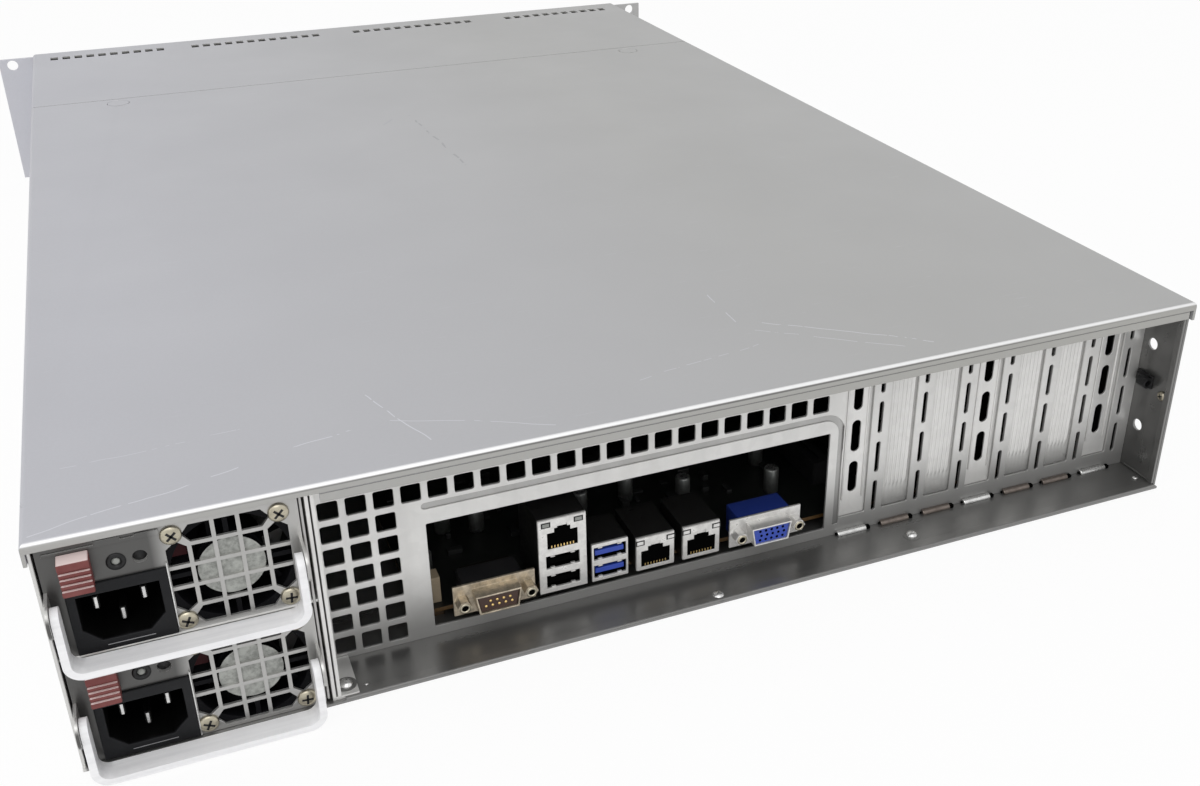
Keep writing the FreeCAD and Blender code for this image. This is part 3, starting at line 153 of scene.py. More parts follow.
class ServerStage(PropertyGroup):
    """Camera and light."""

    camera: FloatVectorProperty(name="Camera", description="Where the camera stands", subtype="TRANSLATION",
                                size=3, unit="LENGTH", default=(-0.1687, -0.6763, 0.3019))
    yaw: FloatProperty(name="Yaw", description="Turn of the view to the right", subtype="ANGLE",
                       default=math.radians(22.1))
    pitch: FloatProperty(name="Pitch", description="Tilt of the view downwards", subtype="ANGLE",
                         default=math.radians(27.07))
    roll: FloatProperty(name="Roll", description="Roll of the view", subtype="ANGLE",
                        default=math.radians(-0.41))
    lens: FloatProperty(name="Lens", description="Focal length in millimetres", default=38.68, min=1)
    shift_x: FloatProperty(name="Shift across", description="Shift of the frame across", default=-0.0301)
    shift_y: FloatProperty(name="Shift up", description="Shift of the frame upwards", default=-0.0214)
    ambient: FloatProperty(name="Ambient", description="Light that comes from all round", default=0.62, min=0)
    key: FloatProperty(name="Key", description="Power of the large lamp over the rear", subtype="POWER",
                       default=11.0, min=0)
    fill: FloatProperty(name="Fill", description="Power of the lamp on the left", subtype="POWER",
                        default=5.0, min=0)


# ---------------------------------------------------------------- materials

class Nodes:
    """A material's node tree, with short ways to add and join nodes."""

    def __init__(self, name):
        self.material = bpy.data.materials.new(name)
        self.material.use_nodes = True
        self.tree = self.material.node_tree
        self.tree.nodes.clear()
        self.output = self.add("ShaderNodeOutputMaterial")
        self.surface = self.add("ShaderNodeBsdfPrincipled")
        self.join(self.surface.outputs["BSDF"], self.output.inputs["Surface"])
        self.place = self.add("ShaderNodeTexCoord").outputs["Object"]

    def add(self, kind, **settings):
        node = self.tree.nodes.new(kind)
        for name, value in settings.items():
            setattr(node, name, value)
        return node

    def join(self, source, target):
        self.tree.links.new(source, target)

    def scaled(self, scale):
        mapping = self.add("ShaderNodeMapping")
        self.join(self.place, mapping.inputs["Vector"])
        mapping.inputs["Scale"].default_value = scale
        return mapping.outputs["Vector"]

    def noise(self, scale, detail=4.0, stretch=None, roughness=0.55):
        noise = self.add("ShaderNodeTexNoise")
        self.join(self.scaled(stretch) if stretch else self.place, noise.inputs["Vector"])
        noise.inputs["Scale"].default_value = scale
        noise.inputs["Detail"].default_value = detail
        noise.inputs["Roughness"].default_value = roughness
        return noise.outputs["Fac"]

    def spangle(self, scale):
        cells = self.add("ShaderNodeTexVoronoi", feature="SMOOTH_F1")
        self.join(self.place, cells.inputs["Vector"])
        cells.inputs["Scale"].default_value = scale
        cells.inputs["Smoothness"].default_value = 0.35
        grey = self.add("ShaderNodeRGBToBW")
        self.join(cells.outputs["Color"], grey.inputs["Color"])
        return grey.outputs["Val"]

    def ramp(self, source, low, high, start=0.3, end=0.7):
        ramp = self.add("ShaderNodeValToRGB")
        ramp.color_ramp.elements[0].position = start
        ramp.color_ramp.elements[1].position = end
        ramp.color_ramp.elements[0].color = (*low, 1)
        ramp.color_ramp.elements[1].color = (*high, 1)
        self.join(source, ramp.inputs["Fac"])
        return ramp.outputs["Color"]

    def remap(self, source, low, high, start=0.3, end=0.7):
        remap = self.add("ShaderNodeMapRange")
        self.join(source, remap.inputs["Value"])
        for name, value in (("From Min", start), ("From Max", end), ("To Min", low), ("To Max", high)):
            remap.inputs[name].default_value = value
        return remap.outputs["Result"]

    def math(self, operation, first, second=None):
        node = self.add("ShaderNodeMath", operation=operation)
        for socket, value in zip(node.inputs, (first, second)):
            if value is None:
                continue
            if isinstance(value, (int, float)):
                socket.default_value = value
            else:
                self.join(value, socket)
        return node.outputs["Value"]

    def mix(self, factor, first, second):
        mix = self.add("ShaderNodeMix", data_type="RGBA")
        self.join(factor, mix.inputs["Factor"])
        for socket, value in ((mix.inputs[6], first), (mix.inputs[7], second)):
            if isinstance(value, tuple):
                socket.default_value = (*value, 1)
            else:
                self.join(value, socket)
        return mix.outputs[2]

    def along(self, axis, start, end):
        """0 to 1 between two places on an axis, in millimetres."""
        parts = self.add("ShaderNodeSeparateXYZ")
        self.join(self.place, parts.inputs["Vector"])
        return self.remap(parts.outputs[axis], 0.0, 1.0, start * MM, end * MM)

    def facing(self, direction, start, end):
        """0 to 1 as the surface turns towards a direction."""
        dot = self.add("ShaderNodeVectorMath", operation="DOT_PRODUCT")
        self.join(self.add("ShaderNodeTexCoord").outputs["Normal"], dot.inputs[0])
        dot.inputs[1].default_value = direction
        return self.remap(dot.outputs["Value"], 0.0, 1.0, start, end)

    def bump(self, height, strength, distance=0.0002):
        bump = self.add("ShaderNodeBump")
        bump.inputs["Strength"].default_value = strength
        bump.inputs["Distance"].default_value = distance
        self.join(height, bump.inputs["Height"])
        self.join(bump.outputs["Normal"], self.surface.inputs["Normal"])

    def stroke(self, start, end, width):
        """1 along a scratch between two points of the top sheet, in millimetres, 0 elsewhere."""
        run = (Vector(end) - Vector(start)) * MM
        angle = math.atan2(run.y, run.x)
        local = self.add("ShaderNodeMapping", vector_type="TEXTURE")
        self.join(self.place, local.inputs["Vector"])
        local.inputs["Location"].default_value = (start[0] * MM, start[1] * MM, 0)
        local.inputs["Rotation"].default_value = (0, 0, angle)
        parts = self.add("ShaderNodeSeparateXYZ")
        self.join(local.outputs["Vector"], parts.inputs["Vector"])
        waver = self.math("MULTIPLY", self.math("SUBTRACT", self.noise(30.0, 2), 0.5), 0.006)
        off_line = self.math("ABSOLUTE", self.math("ADD", parts.outputs["Y"], waver))
        near = self.math("LESS_THAN", off_line, width * MM)
        after = self.math("GREATER_THAN", parts.outputs["X"], 0.0)
        before = self.math("LESS_THAN", parts.outputs["X"], run.length)
        broken = self.math("GREATER_THAN", self.noise(140.0, 3), 0.44)
        between = self.math("MULTIPLY", near, after)
        return self.math("MULTIPLY", between, self.math("MULTIPLY", before, broken))


def tint(colour, factor):
    """The colour made lighter or darker."""
    return tuple(min(1.0, channel * factor) for channel in colour)


# Scratches in the coat: both ends and half the width in millimetres, and their tint.
SCRATCHES = (
    ((-10.1, 68), (-5.5, -36.4), 0.55, 0.55),
    ((48.8, -271.8), (102.4, -314), 0.22, 1.5),
    ((42.9, -277.2), (87.9, -312.5), 0.18, 1.4),
    ((41, -236.8), (39.1, -267.7), 0.22, 1.4),
    ((-217.7, -320.9), (-116.4, -292.4), 0.25, 1.4),
    ((-107, -271.1), (-93.6, -310.7), 0.22, 1.45),
    ((-102.8, -292.2), (-50.9, -317.9), 0.22, 1.35),
    ((-206.6, -283.3), (-150.6, -279.4), 0.2, 1.25),
    ((-29.3, 54), (-21.8, 64), 0.8, 0.8),
    ((-13.8, -298.3), (38.7, -289.7), 0.2, 1.25),
)


def coated_sheet(name, colour, wear, painted_bend_light=True):
    """Satin grey coat with faint mottling, fine random hairlines and a few long scratches; painted shade
    towards the right, and painted shade, shadow and highlight on a bend.
    """
    look = Nodes(name)
    mottle = look.noise(9.0, 3)
    base = look.ramp(mottle, tint(colour, 0.98), tint(colour, 1.02))
    # Painted shade: the coat turns darker and more neutral towards the right.
    base = look.mix(look.along("X", -200, 90), base, (colour[0] * 0.85, colour[0] * 0.85, colour[0] * 0.84))
    grain = look.noise(900.0, 2)
    base = look.mix(look.remap(grain, 0.0, 0.10), base, tint(colour, 0.75))
    hair = look.math("GREATER_THAN", look.noise(60.0, 5, stretch=(1, 16, 1)), 0.70)
    hair = look.math("MULTIPLY", hair, 0.35)
    base = look.mix(look.math("MULTIPLY", hair, wear), base, tint(colour, 1.25))
    for start, end, width, shade in SCRATCHES:
        mask = look.math("MULTIPLY", look.stroke(start, end, width), wear)
        base = look.mix(mask, base, tint(colour, shade))
    # Painted light on a bend: painted shade on the rear-facing lip, a painted shadow under the bend and a
    # painted highlight along it.
    if painted_bend_light:
        lip = look.math("MULTIPLY", look.facing(REARWARD, 0.7, 0.9), 0.8)
        base = look.mix(lip, base, (0.40, 0.395, 0.37))
        under = look.math("MULTIPLY", look.facing((0, -0.966, 0.26), 0.972, 0.995), 0.75)
        base = look.mix(under, base, (0.10, 0.10, 0.10))
        bend = look.math("MULTIPLY", look.facing((0, -0.7071, 0.7071), 0.93, 0.985), 0.85)
        base = look.mix(bend, base, (0.98, 0.98, 0.98))
    look.join(base, look.surface.inputs["Base Color"])
    look.surface.inputs["Metallic"].default_value = 0.2
    look.join(look.remap(look.noise(14.0, 4), 0.40, 0.50), look.surface.inputs["Roughness"])
    look.bump(grain, 0.08, 0.00008)
    return look.material


def galvanised(name, colour, metallic=0.72, rough=(0.30, 0.44), streak=(1, 1, 8), spangle=260.0, shade=None):
    """Zinc sheet: faint crystals, rolled streaks, small stains, and painted shade from a given shade
    function.
    """
    look = Nodes(name)
    crystals = look.spangle(spangle)
    base = look.ramp(crystals, tint(colour, 0.96), tint(colour, 1.02), 0.2, 0.8)
    rolled = look.noise(120.0, 5, stretch=tuple(1.0 / axis for axis in streak))
    base = look.mix(look.remap(rolled, 0.0, 0.35), base, tint(colour, 0.78))
    stain = look.noise(22.0, 6, roughness=0.7)
    base = look.mix(look.remap(stain, 0.0, 0.22, 0.55, 0.8), base,
                    (colour[0] * 0.78, colour[1] * 0.74, colour[2] * 0.68))
    # Painted shade, where a shade function is given.
    if shade:
        base = shade(look, base, colour)
    look.join(base, look.surface.inputs["Base Color"])
    look.surface.inputs["Metallic"].default_value = metallic
    look.join(look.remap(rolled, rough[0], rough[1]), look.surface.inputs["Roughness"])
    look.bump(rolled, 0.10, 0.00012)
    return look.material


def shade_near_floor(look, base, colour):
    """Painted shade: the rear panel darkens towards the floor."""
    return look.mix(look.along("Z", 34, 6), base, tint(colour, 0.42))


def tray_shade(look, base, colour):
    """Painted shade: the floor and insides are darker and the right wall's inside darker still; both walls'
    outsides stay bright.
    """
    outside = look.math("MULTIPLY", look.along("X", 212, 215), look.facing(RIGHT, 0.5, 0.9))
    inside = look.math("SUBTRACT", look.along("X", -216.4, -215.8), outside)
    base = look.mix(inside, base, tint(colour, 0.34))
    wall = look.math("MULTIPLY", look.along("X", 212, 215.9), look.facing(LEFT, 0.5, 0.9))
    return look.mix(wall, base, tint(colour, 0.26))


def case_shade(look, base, colour):
    """Painted shade: the power module's face is dark over the inlet and soft grey round the fan."""
    face = look.facing(REARWARD, 0.6, 0.9)
    base = look.mix(look.math("MULTIPLY", face, 0.45), base, tint(colour, 0.45))
    left = look.math("MULTIPLY", face, look.along("X", -178, -184))
    return look.mix(left, base, tint(colour, 0.17))


def satin_strip(name, colour):
    """Drawn strip: smooth with fine lines along X."""
    look = Nodes(name)
    drawn = look.noise(500.0, 4, stretch=(0.04, 1, 1))
    base = look.ramp(drawn, tint(colour, 0.93), tint(colour, 1.04))
    rub = look.noise(70.0, 5, roughness=0.7)
    base = look.mix(look.remap(rub, 0.0, 0.25, 0.55, 0.75), base, tint(colour, 0.72))
    look.join(base, look.surface.inputs["Base Color"])
    # No metal: the near-white colour stands in partly for the strip's bright reflection, painted in.
    look.surface.inputs["Metallic"].default_value = 0.0
    look.join(look.remap(drawn, 0.34, 0.46), look.surface.inputs["Roughness"])
    look.bump(drawn, 0.06, 0.00008)
    return look.material


def bright_metal(name, colour, rough=0.22, metallic=0.95, soil=0.25, behind=None):
    """Bright metal or film with a little soil; painted shade makes it nearly black behind a given Y."""
    look = Nodes(name)
    soiled = look.noise(350.0, 5, roughness=0.7)
    base = look.ramp(soiled, tint(colour, 1.0 - soil), colour, 0.35, 0.6)
    # Painted shade: nearly black behind the given Y.
    if behind is not None:
        base = look.mix(look.along("Y", behind, behind + 0.6), base, tint(colour, 0.03))
    look.join(base, look.surface.inputs["Base Color"])
    look.surface.inputs["Metallic"].default_value = metallic
    look.join(look.remap(soiled, rough + 0.14, rough), look.surface.inputs["Roughness"])
    look.bump(soiled, 0.05, 0.0001)
    return look.material


def moulded(name, colour, rough=0.45, dust=0.0, dust_colour=(0.45, 0.42, 0.40), behind=None, gloss=0.5,
            crown=None):
    """Moulded plastic with a fine texture and dust; painted shade makes it black behind a given Y, and a
    painted highlight gives the top another colour.
    """
    look = Nodes(name)
    texture = look.noise(1400.0, 3)
    cloud = look.noise(45.0, 5, roughness=0.65)
    base = look.ramp(cloud, tint(colour, 0.85), tint(colour, 1.12))
    if dust:
        base = look.mix(look.remap(cloud, 0.0, dust, 0.42, 0.72), base, dust_colour)
    # Painted shade: black behind the given Y.
    if behind is not None:
        base = look.mix(look.along("Y", behind, behind + 0.6), base, (0.001, 0.001, 0.001))
    # Painted highlight: another colour on what faces up.
    if crown:
        base = look.mix(look.facing(UP, 0.6, 0.95), base, crown)
    look.join(base, look.surface.inputs["Base Color"])
    look.surface.inputs["Specular IOR Level"].default_value = gloss
    look.join(look.remap(texture, rough - 0.06, rough + 0.08), look.surface.inputs["Roughness"])
    look.bump(texture, 0.10, 0.00006)
    return look.material


def laminate(name, colour):
    """Board laminate: a woven pattern with clouding, made nearly black on what faces up."""
    look = Nodes(name)
    weave = look.add("ShaderNodeTexBrick")
    look.join(look.scaled((260, 260, 260)), weave.inputs["Vector"])
    weave.inputs["Color1"].default_value = (*tint(colour, 0.9), 1)
    weave.inputs["Color2"].default_value = (*tint(colour, 1.15), 1)
    weave.inputs["Mortar"].default_value = (*tint(colour, 0.6), 1)
    weave.inputs["Mortar Size"].default_value = 0.03
    cloud = look.noise(60.0, 4)
    base = look.mix(look.remap(cloud, 0.0, 0.5), weave.outputs["Color"], tint(colour, 0.55))
    base = look.mix(look.facing(UP, 0.4, 0.8), base, (0.006, 0.007, 0.006))
    look.join(base, look.surface.inputs["Base Color"])
    look.join(look.remap(cloud, 0.30, 0.45), look.surface.inputs["Roughness"])
    look.bump(cloud, 0.1, 0.0001)
    return look.material


FINISHES = {}


def make_finishes(colours, wear):
    """Make every finish from the colours that a user can set."""
    FINISHES.update(
        cover=coated_sheet("cover_coat", tuple(colours.cover), wear),
        # Painted light: the ears get a lighter copy of the cover coat, without the painted light on a bend.
        ear=coated_sheet("ear_coat", tint(colours.cover, 1.2), wear, painted_bend_light=False),
        # The rear panel's zinc gets painted shade towards the floor.
        zinc=galvanised("zinc_sheet", tuple(colours.zinc), 0.5, shade=shade_near_floor),
        # The tray's zinc gets painted shade inside.
        tray=galvanised("tray_zinc", tint(colours.zinc, 0.92), 0.75, (0.26, 0.38), (8, 1, 1), 190.0,
                        tray_shade),
        # The plated sheet gets painted shade on what faces the rear.
        plated=galvanised("plated_sheet", tuple(colours.plated), 0.7, (0.28, 0.38), (1, 1, 3), 500.0,
                          case_shade),
        strip=satin_strip("bail_strip", tuple(colours.strip)),
        # The latch gets a painted highlight on its top.
        latch=moulded("latch_plastic", tuple(colours.latch), 0.45, 0.25, (0.42, 0.22, 0.20),
                      crown=(0.80, 0.66, 0.64)),
        black=moulded("black_plastic", (0.010, 0.010, 0.011), 0.42, 0.02, gloss=0.3),
        # The inlet's plastic gets painted shade inside its mouth.
        grey_black=moulded("inlet_plastic", (0.010, 0.0105, 0.012), 0.5, 0.01, behind=MODULE_FACE - 0.6,
                           gloss=0.2),
        fan=moulded("fan_plastic", (0.004, 0.004, 0.005), 0.5, gloss=0.08),
        nickel=bright_metal("yellow_nickel", (0.50, 0.46, 0.36), 0.26),
        steel=bright_metal("bright_steel", (0.76, 0.76, 0.75), 0.20),
        # The tin and chromate shells get painted shade behind the panel's face.
        tin=bright_metal("tin_shell", (0.80, 0.79, 0.77), 0.26, 0.6, 0.18, PANEL - 1.4),
        chromate=bright_metal("chromate_shell", (0.62, 0.54, 0.42), 0.30, 0.7, 0.45, PANEL - 1.4),
        gold=bright_metal("contact_gold", (0.86, 0.62, 0.25), 0.22, 1.0, 0.15),
        board=laminate("board_laminate", tuple(colours.laminate)),
        blue=moulded("blue_insert", tuple(colours.blue), 0.40),
        deep_blue=moulded("deep_blue_insert", tint(colours.blue, 0.45), 0.40),
        brown=moulded("brown_insert", (0.05, 0.022, 0.015), 0.45),
        fins=bright_metal("fin_aluminium", (0.74, 0.75, 0.76), 0.32, 0.9, 0.12),
        label=bright_metal("silver_film", (0.40, 0.41, 0.385), 0.42, 0.3, 0.45),
        grey=moulded("grey_plastic", (0.32, 0.32, 0.33), 0.45),
        lamp=moulded("lamp_lens", (0.30, 0.31, 0.29), 0.2),
        module=moulded("module_laminate", (0.02, 0.045, 0.025), 0.4),
        blank=galvanised("blank_sheet", tint(colours.zinc, 1.06), 0.55, (0.30, 0.42), (1, 1, 40), 300.0),
        brown_steel=bright_metal("worn_hook", (0.20, 0.17, 0.15), 0.3, 0.8),
        # Near black, used as painted shade in holes, mouths and cut-outs; the tall ports' black tongues take
        # it too.
        void=moulded("void_black", (0.002, 0.002, 0.002), 0.8, gloss=0.0),
        dark_red=moulded("dark_red_lead", (0.02, 0.002, 0.003), 0.5, gloss=0.1),
        # Darker zinc as painted shade in the groove and on the hole walls, with painted shade towards the
        # floor.
        groove=galvanised("groove_shade_zinc", tint(colours.zinc, 0.62), 0.5, shade=shade_near_floor),
        can=bright_metal("can_aluminium", (0.30, 0.31, 0.30), 0.35, 0.8),
        beige=moulded("beige_header", (0.36, 0.29, 0.20), 0.5),
        chip=moulded("chip_black", (0.012, 0.013, 0.013), 0.35, 0.12, (0.12, 0.12, 0.11)),
    )


# ---------------------------------------------------------------- making pieces

def mesh_piece(name, form, finish, body, slot, edge=0.0, smooth=False):
    """Turn a bmesh into a piece that rides on a body."""
    mesh = bpy.data.meshes.new(name)
    bmesh.ops.recalc_face_normals(form, faces=form.faces)
    form.to_mesh(mesh)
    form.free()
    piece = bpy.data.objects.new(name, mesh)
    bpy.context.scene.collection.objects.link(piece)
    mesh.materials.append(FINISHES[finish])
    if smooth:
        for face in mesh.polygons:
            face.use_smooth = True
    if edge:
        soften(piece, edge)
    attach(piece, body)
    return piece


def block_piece(name, blocks, finish, body, slot, edge=0.0):
    """A piece made of blocks, each given by two corners in millimetres."""
    form = bmesh.new()
    for low, high in blocks:
        add_block(form, low, high)
    return mesh_piece(name, form, finish, body, slot, edge)


def soften(piece, width):
    """Round the edges of a piece."""
    bevel = piece.modifiers.new("Edge", "BEVEL")
    bevel.width = width
    bevel.segments = 2
    bevel.limit_method = "ANGLE"
    bevel.angle_limit = math.radians(35)


def add_block(form, low, high):
    """A block between two corners, in millimetres."""
    made = bmesh.ops.create_cube(form, size=1)
    size = [(b - a) * MM for a, b in zip(low, high)]
    middle = [(a + b) / 2 * MM for a, b in zip(low, high)]
    for vertex in made["verts"]:
        vertex.co = Vector(c * s + m for c, s, m in zip(vertex.co, size, middle))


def frame_of(direction):
    """A rotation that turns Z to the direction."""
    return Vector(UP).rotation_difference(Vector(direction)).to_matrix().to_4x4()


def add_turned(form, spot, direction, profile, steps=24):
    """A turned form: (radius, height) pairs in millimetres about an axis through a point."""
    matrix = Matrix.Translation(Vector(spot) * MM) @ frame_of(direction)
    rings = []
    for radius, height in profile:
        if radius <= 0:
            rings.append([form.verts.new(matrix @ Vector((0, 0, height * MM)))])
            continue
        ring = []
        for step in range(steps):
            angle = 2 * math.pi * step / steps
            point = Vector((radius * math.cos(angle), radius * math.sin(angle), height)) * MM
            ring.append(form.verts.new(matrix @ point))
        rings.append(ring)
    for lower, upper in zip(rings, rings[1:]):
        for step in range(steps):
            after = (step + 1) % steps
            corners = [lower[step % len(lower)], lower[after % len(lower)],
                       upper[after % len(upper)], upper[step % len(upper)]]
            unique = list(dict.fromkeys(corners))
            if len(unique) > 2:
                form.faces.new(unique)
    for ring in (rings[0], rings[-1]):
        if len(ring) > 1:
            form.faces.new(ring)


def add_prism(form, outline, low, high, axis="y"):
    """A prism of an outline of (a, b) pairs between two heights along an axis."""
    along = "xyz".index(axis)
    ends = []
    for height in (low, high):
        points = [(*pair[:along], height, *pair[along:]) for pair in outline]
        ends.append([form.verts.new(Vector(point) * MM) for point in points])
    form.faces.new(ends[0])
    form.faces.new(ends[1][::-1])
    for index in range(len(outline)):
        after = (index + 1) % len(outline)
        form.faces.new((ends[0][index], ends[1][index], ends[1][after], ends[0][after]))


def add_cup(form, low, high, wall):
    """A box open at its low-Y side, with walls of a given thickness."""
    (x0, y0, z0), (x1, y1, z1) = low, high
    add_block(form, (x0, y0, z0), (x1, y1, z0 + wall))
    add_block(form, (x0, y0, z1 - wall), (x1, y1, z1))
    add_block(form, (x0, y0, z0 + wall), (x0 + wall, y1, z1 - wall))
    add_block(form, (x1 - wall, y0, z0 + wall), (x1, y1, z1 - wall))
    add_block(form, (x0 + wall, y1 - wall, z0 + wall), (x1 - wall, y1, z1 - wall))


def rounded(x0, x1, z0, z1, radius, steps=5):
    """The outline of a rectangle with round corners."""
    points = []
    for cx, cz, start in ((x1 - radius, z1 - radius, 0), (x0 + radius, z1 - radius, 90),
                          (x0 + radius, z0 + radius, 180), (x1 - radius, z0 + radius, 270)):
        for step in range(steps + 1):
            angle = math.radians(start + 90 * step / steps)
            points.append((cx + radius * math.cos(angle), cz + radius * math.sin(angle)))
    return points


def sheet_piece(name, outlines, level, thickness, finish, body, slot, edge=0.12):
    """An upright sheet with holes: outlines in millimetres, its rear face at level."""
    curve = bpy.data.curves.new(name, "CURVE")
    curve.dimensions = "2D"
    curve.fill_mode = "BOTH"
    curve.extrude = (thickness / 2 - edge) * MM
    curve.bevel_depth = edge * MM
    curve.bevel_resolution = 1
    curve.offset = -edge * MM
    for outline in outlines:
        spline = curve.splines.new("POLY")
        spline.points.add(len(outline) - 1)
        for point, (a, b) in zip(spline.points, outline):
            point.co = (a * MM, b * MM, 0, 1)
        spline.use_cyclic_u = True
    holder = bpy.data.objects.new(name, curve)
    bpy.context.scene.collection.objects.link(holder)
    graph = bpy.context.evaluated_depsgraph_get()
    mesh = bpy.data.meshes.new_from_object(holder.evaluated_get(graph))
    bpy.data.objects.remove(holder)
    turn = Matrix.Rotation(math.pi / 2, 4, "X")
    mesh.transform(Matrix.Translation((0, (level + thickness / 2) * MM, 0)) @ turn)
    piece = bpy.data.objects.new(name, mesh)
    bpy.context.scene.collection.objects.link(piece)
    mesh.materials.clear()
    mesh.materials.append(FINISHES[finish])
    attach(piece, body)
    return piece


def finish_node(name, finish, edge=0.0):
    """Give a CAD node its finish and softened edges."""
    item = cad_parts[name]
    item.data.materials.clear()
    item.data.materials.append(FINISHES[finish])
    if edge:
        weld = item.modifiers.new("Weld", "WELD")
        weld.merge_threshold = 0.00001
        soften(item, edge)


def add_screw(form, spot, direction, radius, height):
    """A pan head."""
    crown = ((0.98, 0), (1, 0.35), (0.86, 0.75), (0.55, 0.97), (0.34, 1))
    add_turned(form, spot, direction, [(radius * across, height * rise) for across, rise in crown])


def add_cross(form, spot, direction, radius, height, turn):
    """Painted shade of the cross recess: dark bars just above the head's crown."""
    matrix = Matrix.Translation(Vector(spot) * MM) @ frame_of(direction) @ Matrix.Rotation(turn, 4, "Z")
    for angle in (0, math.pi / 2):
        made = bmesh.ops.create_cube(form, size=1)["verts"]
        spin = Matrix.Rotation(angle, 4, "Z")
        for vertex in made:
            x, y, z = vertex.co
            arm = Vector((x * radius * 1.15, y * radius * 0.24, z * height * 0.12 + height * 0.97))
            vertex.co = matrix @ (spin @ (arm * MM))


def screws(name, spots, direction, radius, height, body, slot, finish="nickel"):
    """Screw heads, and dark bars as painted shade for each cross recess, as two pieces."""
    heads = bmesh.new()
    crosses = bmesh.new()
    draw = random.Random(len(name) * 7 + len(spots))
    for spot in spots:
        add_screw(heads, spot, direction, radius, height)
        add_cross(crosses, spot, direction, radius, height, draw.uniform(0, 1.5))
    mesh_piece(f"{name}_heads", heads, finish, body, slot, smooth=True)
    mesh_piece(f"{name}_recess_shade", crosses, "black", body, slot)


# ---------------------------------------------------------------- operators

# A node's finish and its edge, as a share of the edge size.
NODE_FINISHES = {
    "top_cover": ("cover", 0.6),
    "front_top_plate": ("cover", 0.6),
    "chassis_tray": ("tray", 0.8),
    "rear_panel": ("zinc", 0.5),
    "slot_blanks": ("zinc", 0.5),
    "psu_bay": ("blank", 0.6),
    "cable_clip": ("black", 0.8),
    "main_board": ("board", 0),
    "slot_connectors": ("black", 0),
    "memory_modules": ("module", 0),
    "cpu_heatsinks": ("fins", 0),
    "drive_backplane": ("board", 0),
    "cooler_holder": ("tray", 0),
    "cooler_housings": ("fan", 0),
    "power_distributor": ("plated", 0.8),
    "drive_cage": ("tray", 0),
    "front_fascia": ("black", 0.6),
    "control_panel": ("black", 0.8),
    "serial_port": ("chromate", 0.5),
    "display_port": ("tin", 0.5),
    "network_usb_stack": ("tin", 0.4),
    "usb_stack": ("tin", 0.3),
    "network_ports": ("tin", 0.3),
    "power_button": ("grey", 0.8),
    "reset_button": ("grey", 0.8),
}
# The same for nodes known by a part of their name.
PART_FINISHES = {
    "_case": ("plated", 0.5),
    "_inlet": ("grey_black", 0.9),
    "_handle": ("strip", 1.4),
    "_latch": ("latch", 1.0),
    "_fan_frame": ("fan", 0.5),
    "rotor": ("fan", 0),
    "cover_tab": ("cover", 0.6),
    "rack_ear": ("ear", 0.25),
}


class SERVER_OT_finishes(Operator):
    """Make the finishes and give every carried-over node its own"""

    bl_idname = "server.finishes"
    bl_label = "Finishes"

    def execute(self, context):
        sizes = context.scene.server_sizes
        make_finishes(context.scene.server_colours, sizes.wear)
        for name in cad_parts:
            finish, share = self.choice(name)
            finish_node(name, finish, sizes.edge * share)
        return {"FINISHED"}

    @staticmethod
    def choice(name):
        if name in NODE_FINISHES:
            return NODE_FINISHES[name]
        for part, finish in PART_FINISHES.items():
            if part in name:
                return finish
        return "black", 0.8


class SERVER_OT_rear_panel(Operator):
    """Build the recessed panel with round-cornered vents, round-ended slots and the pressed groove"""

    bl_idname = "server.rear_panel"
    bl_label = "Rear panel"

    def execute(self, context):
        low, high = limits("rear_panel")
        holes = [rounded(*WINDOW, 0.6)]
        for column in range(VENT_COLUMNS):
            for line in range(VENT_ROWS if column < TALL_COLUMNS else 1):
                x = VENT_LEFT + column * VENT_PITCH
                z = VENT_TOP - line * VENT_PITCH
                holes.append(rounded(x, x + VENT, z - VENT, z, CORNER))
        for slot in SLOTS:
            holes.append(rounded(slot - SLOT_HALF, slot + SLOT_HALF, SLOT_SILL, SLOT_HEAD, CORNER))
            for step in range(4):
                sill = RIB_SILL + RIB_PITCH * step
                holes.append(rounded(slot + RIB_LEFT, slot + RIB_RIGHT, sill, sill + RIB_LENGTH, 0.98))
        border = [(low[0], low[2]), (high[0], low[2]), (high[0], high[2]), (low[0], high[2])]
        where = ("chassis", "zinc_steel")
        skin = sheet_piece("panel_skin", [border, *holes, self.groove()], low[1], 0.5, "zinc", *where)
        # The core shows only in the groove and on the hole walls; its darker zinc is painted shade.
        core = sheet_piece("panel_core", [border, *holes], low[1] + 0.5, 0.7, "groove", *where)
        flange = ((low[0], low[1] + FLOOR, high[2] - FLOOR), high)
        block_piece("panel_flange", [flange], "zinc", *where, 0.0004)
        for piece in (skin, core):
            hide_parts("rear_panel")
        return {"FINISHED"}

    @staticmethod
    def groove():
        """The outline of the groove over the window and down its right side."""
        left, right, low, width, bend = -97.0, WINDOW[1] + 3.7, WINDOW[3] + 6, 2.6, 9
        foot, steps = 6.5, 8
        points = []
        for step in range(steps + 1):
            angle = math.radians(90 + 180 * step / steps)
            points.append((left + width / 2 + width / 2 * math.cos(angle),
                           low + width / 2 + width / 2 * math.sin(angle)))
        corner_x, corner_z = right + width - bend, low + width - bend
        turns = [math.radians(90 * step / steps) for step in range(steps + 1)]
        inner, outer = bend - width, bend
        points += [(corner_x + inner * math.sin(turn), corner_z + inner * math.cos(turn)) for turn in turns]
        points += [(right, foot), (right + width, foot)]
        points += [(corner_x + outer * math.sin(turn), corner_z + outer * math.cos(turn))
                   for turn in reversed(turns)]
        return points


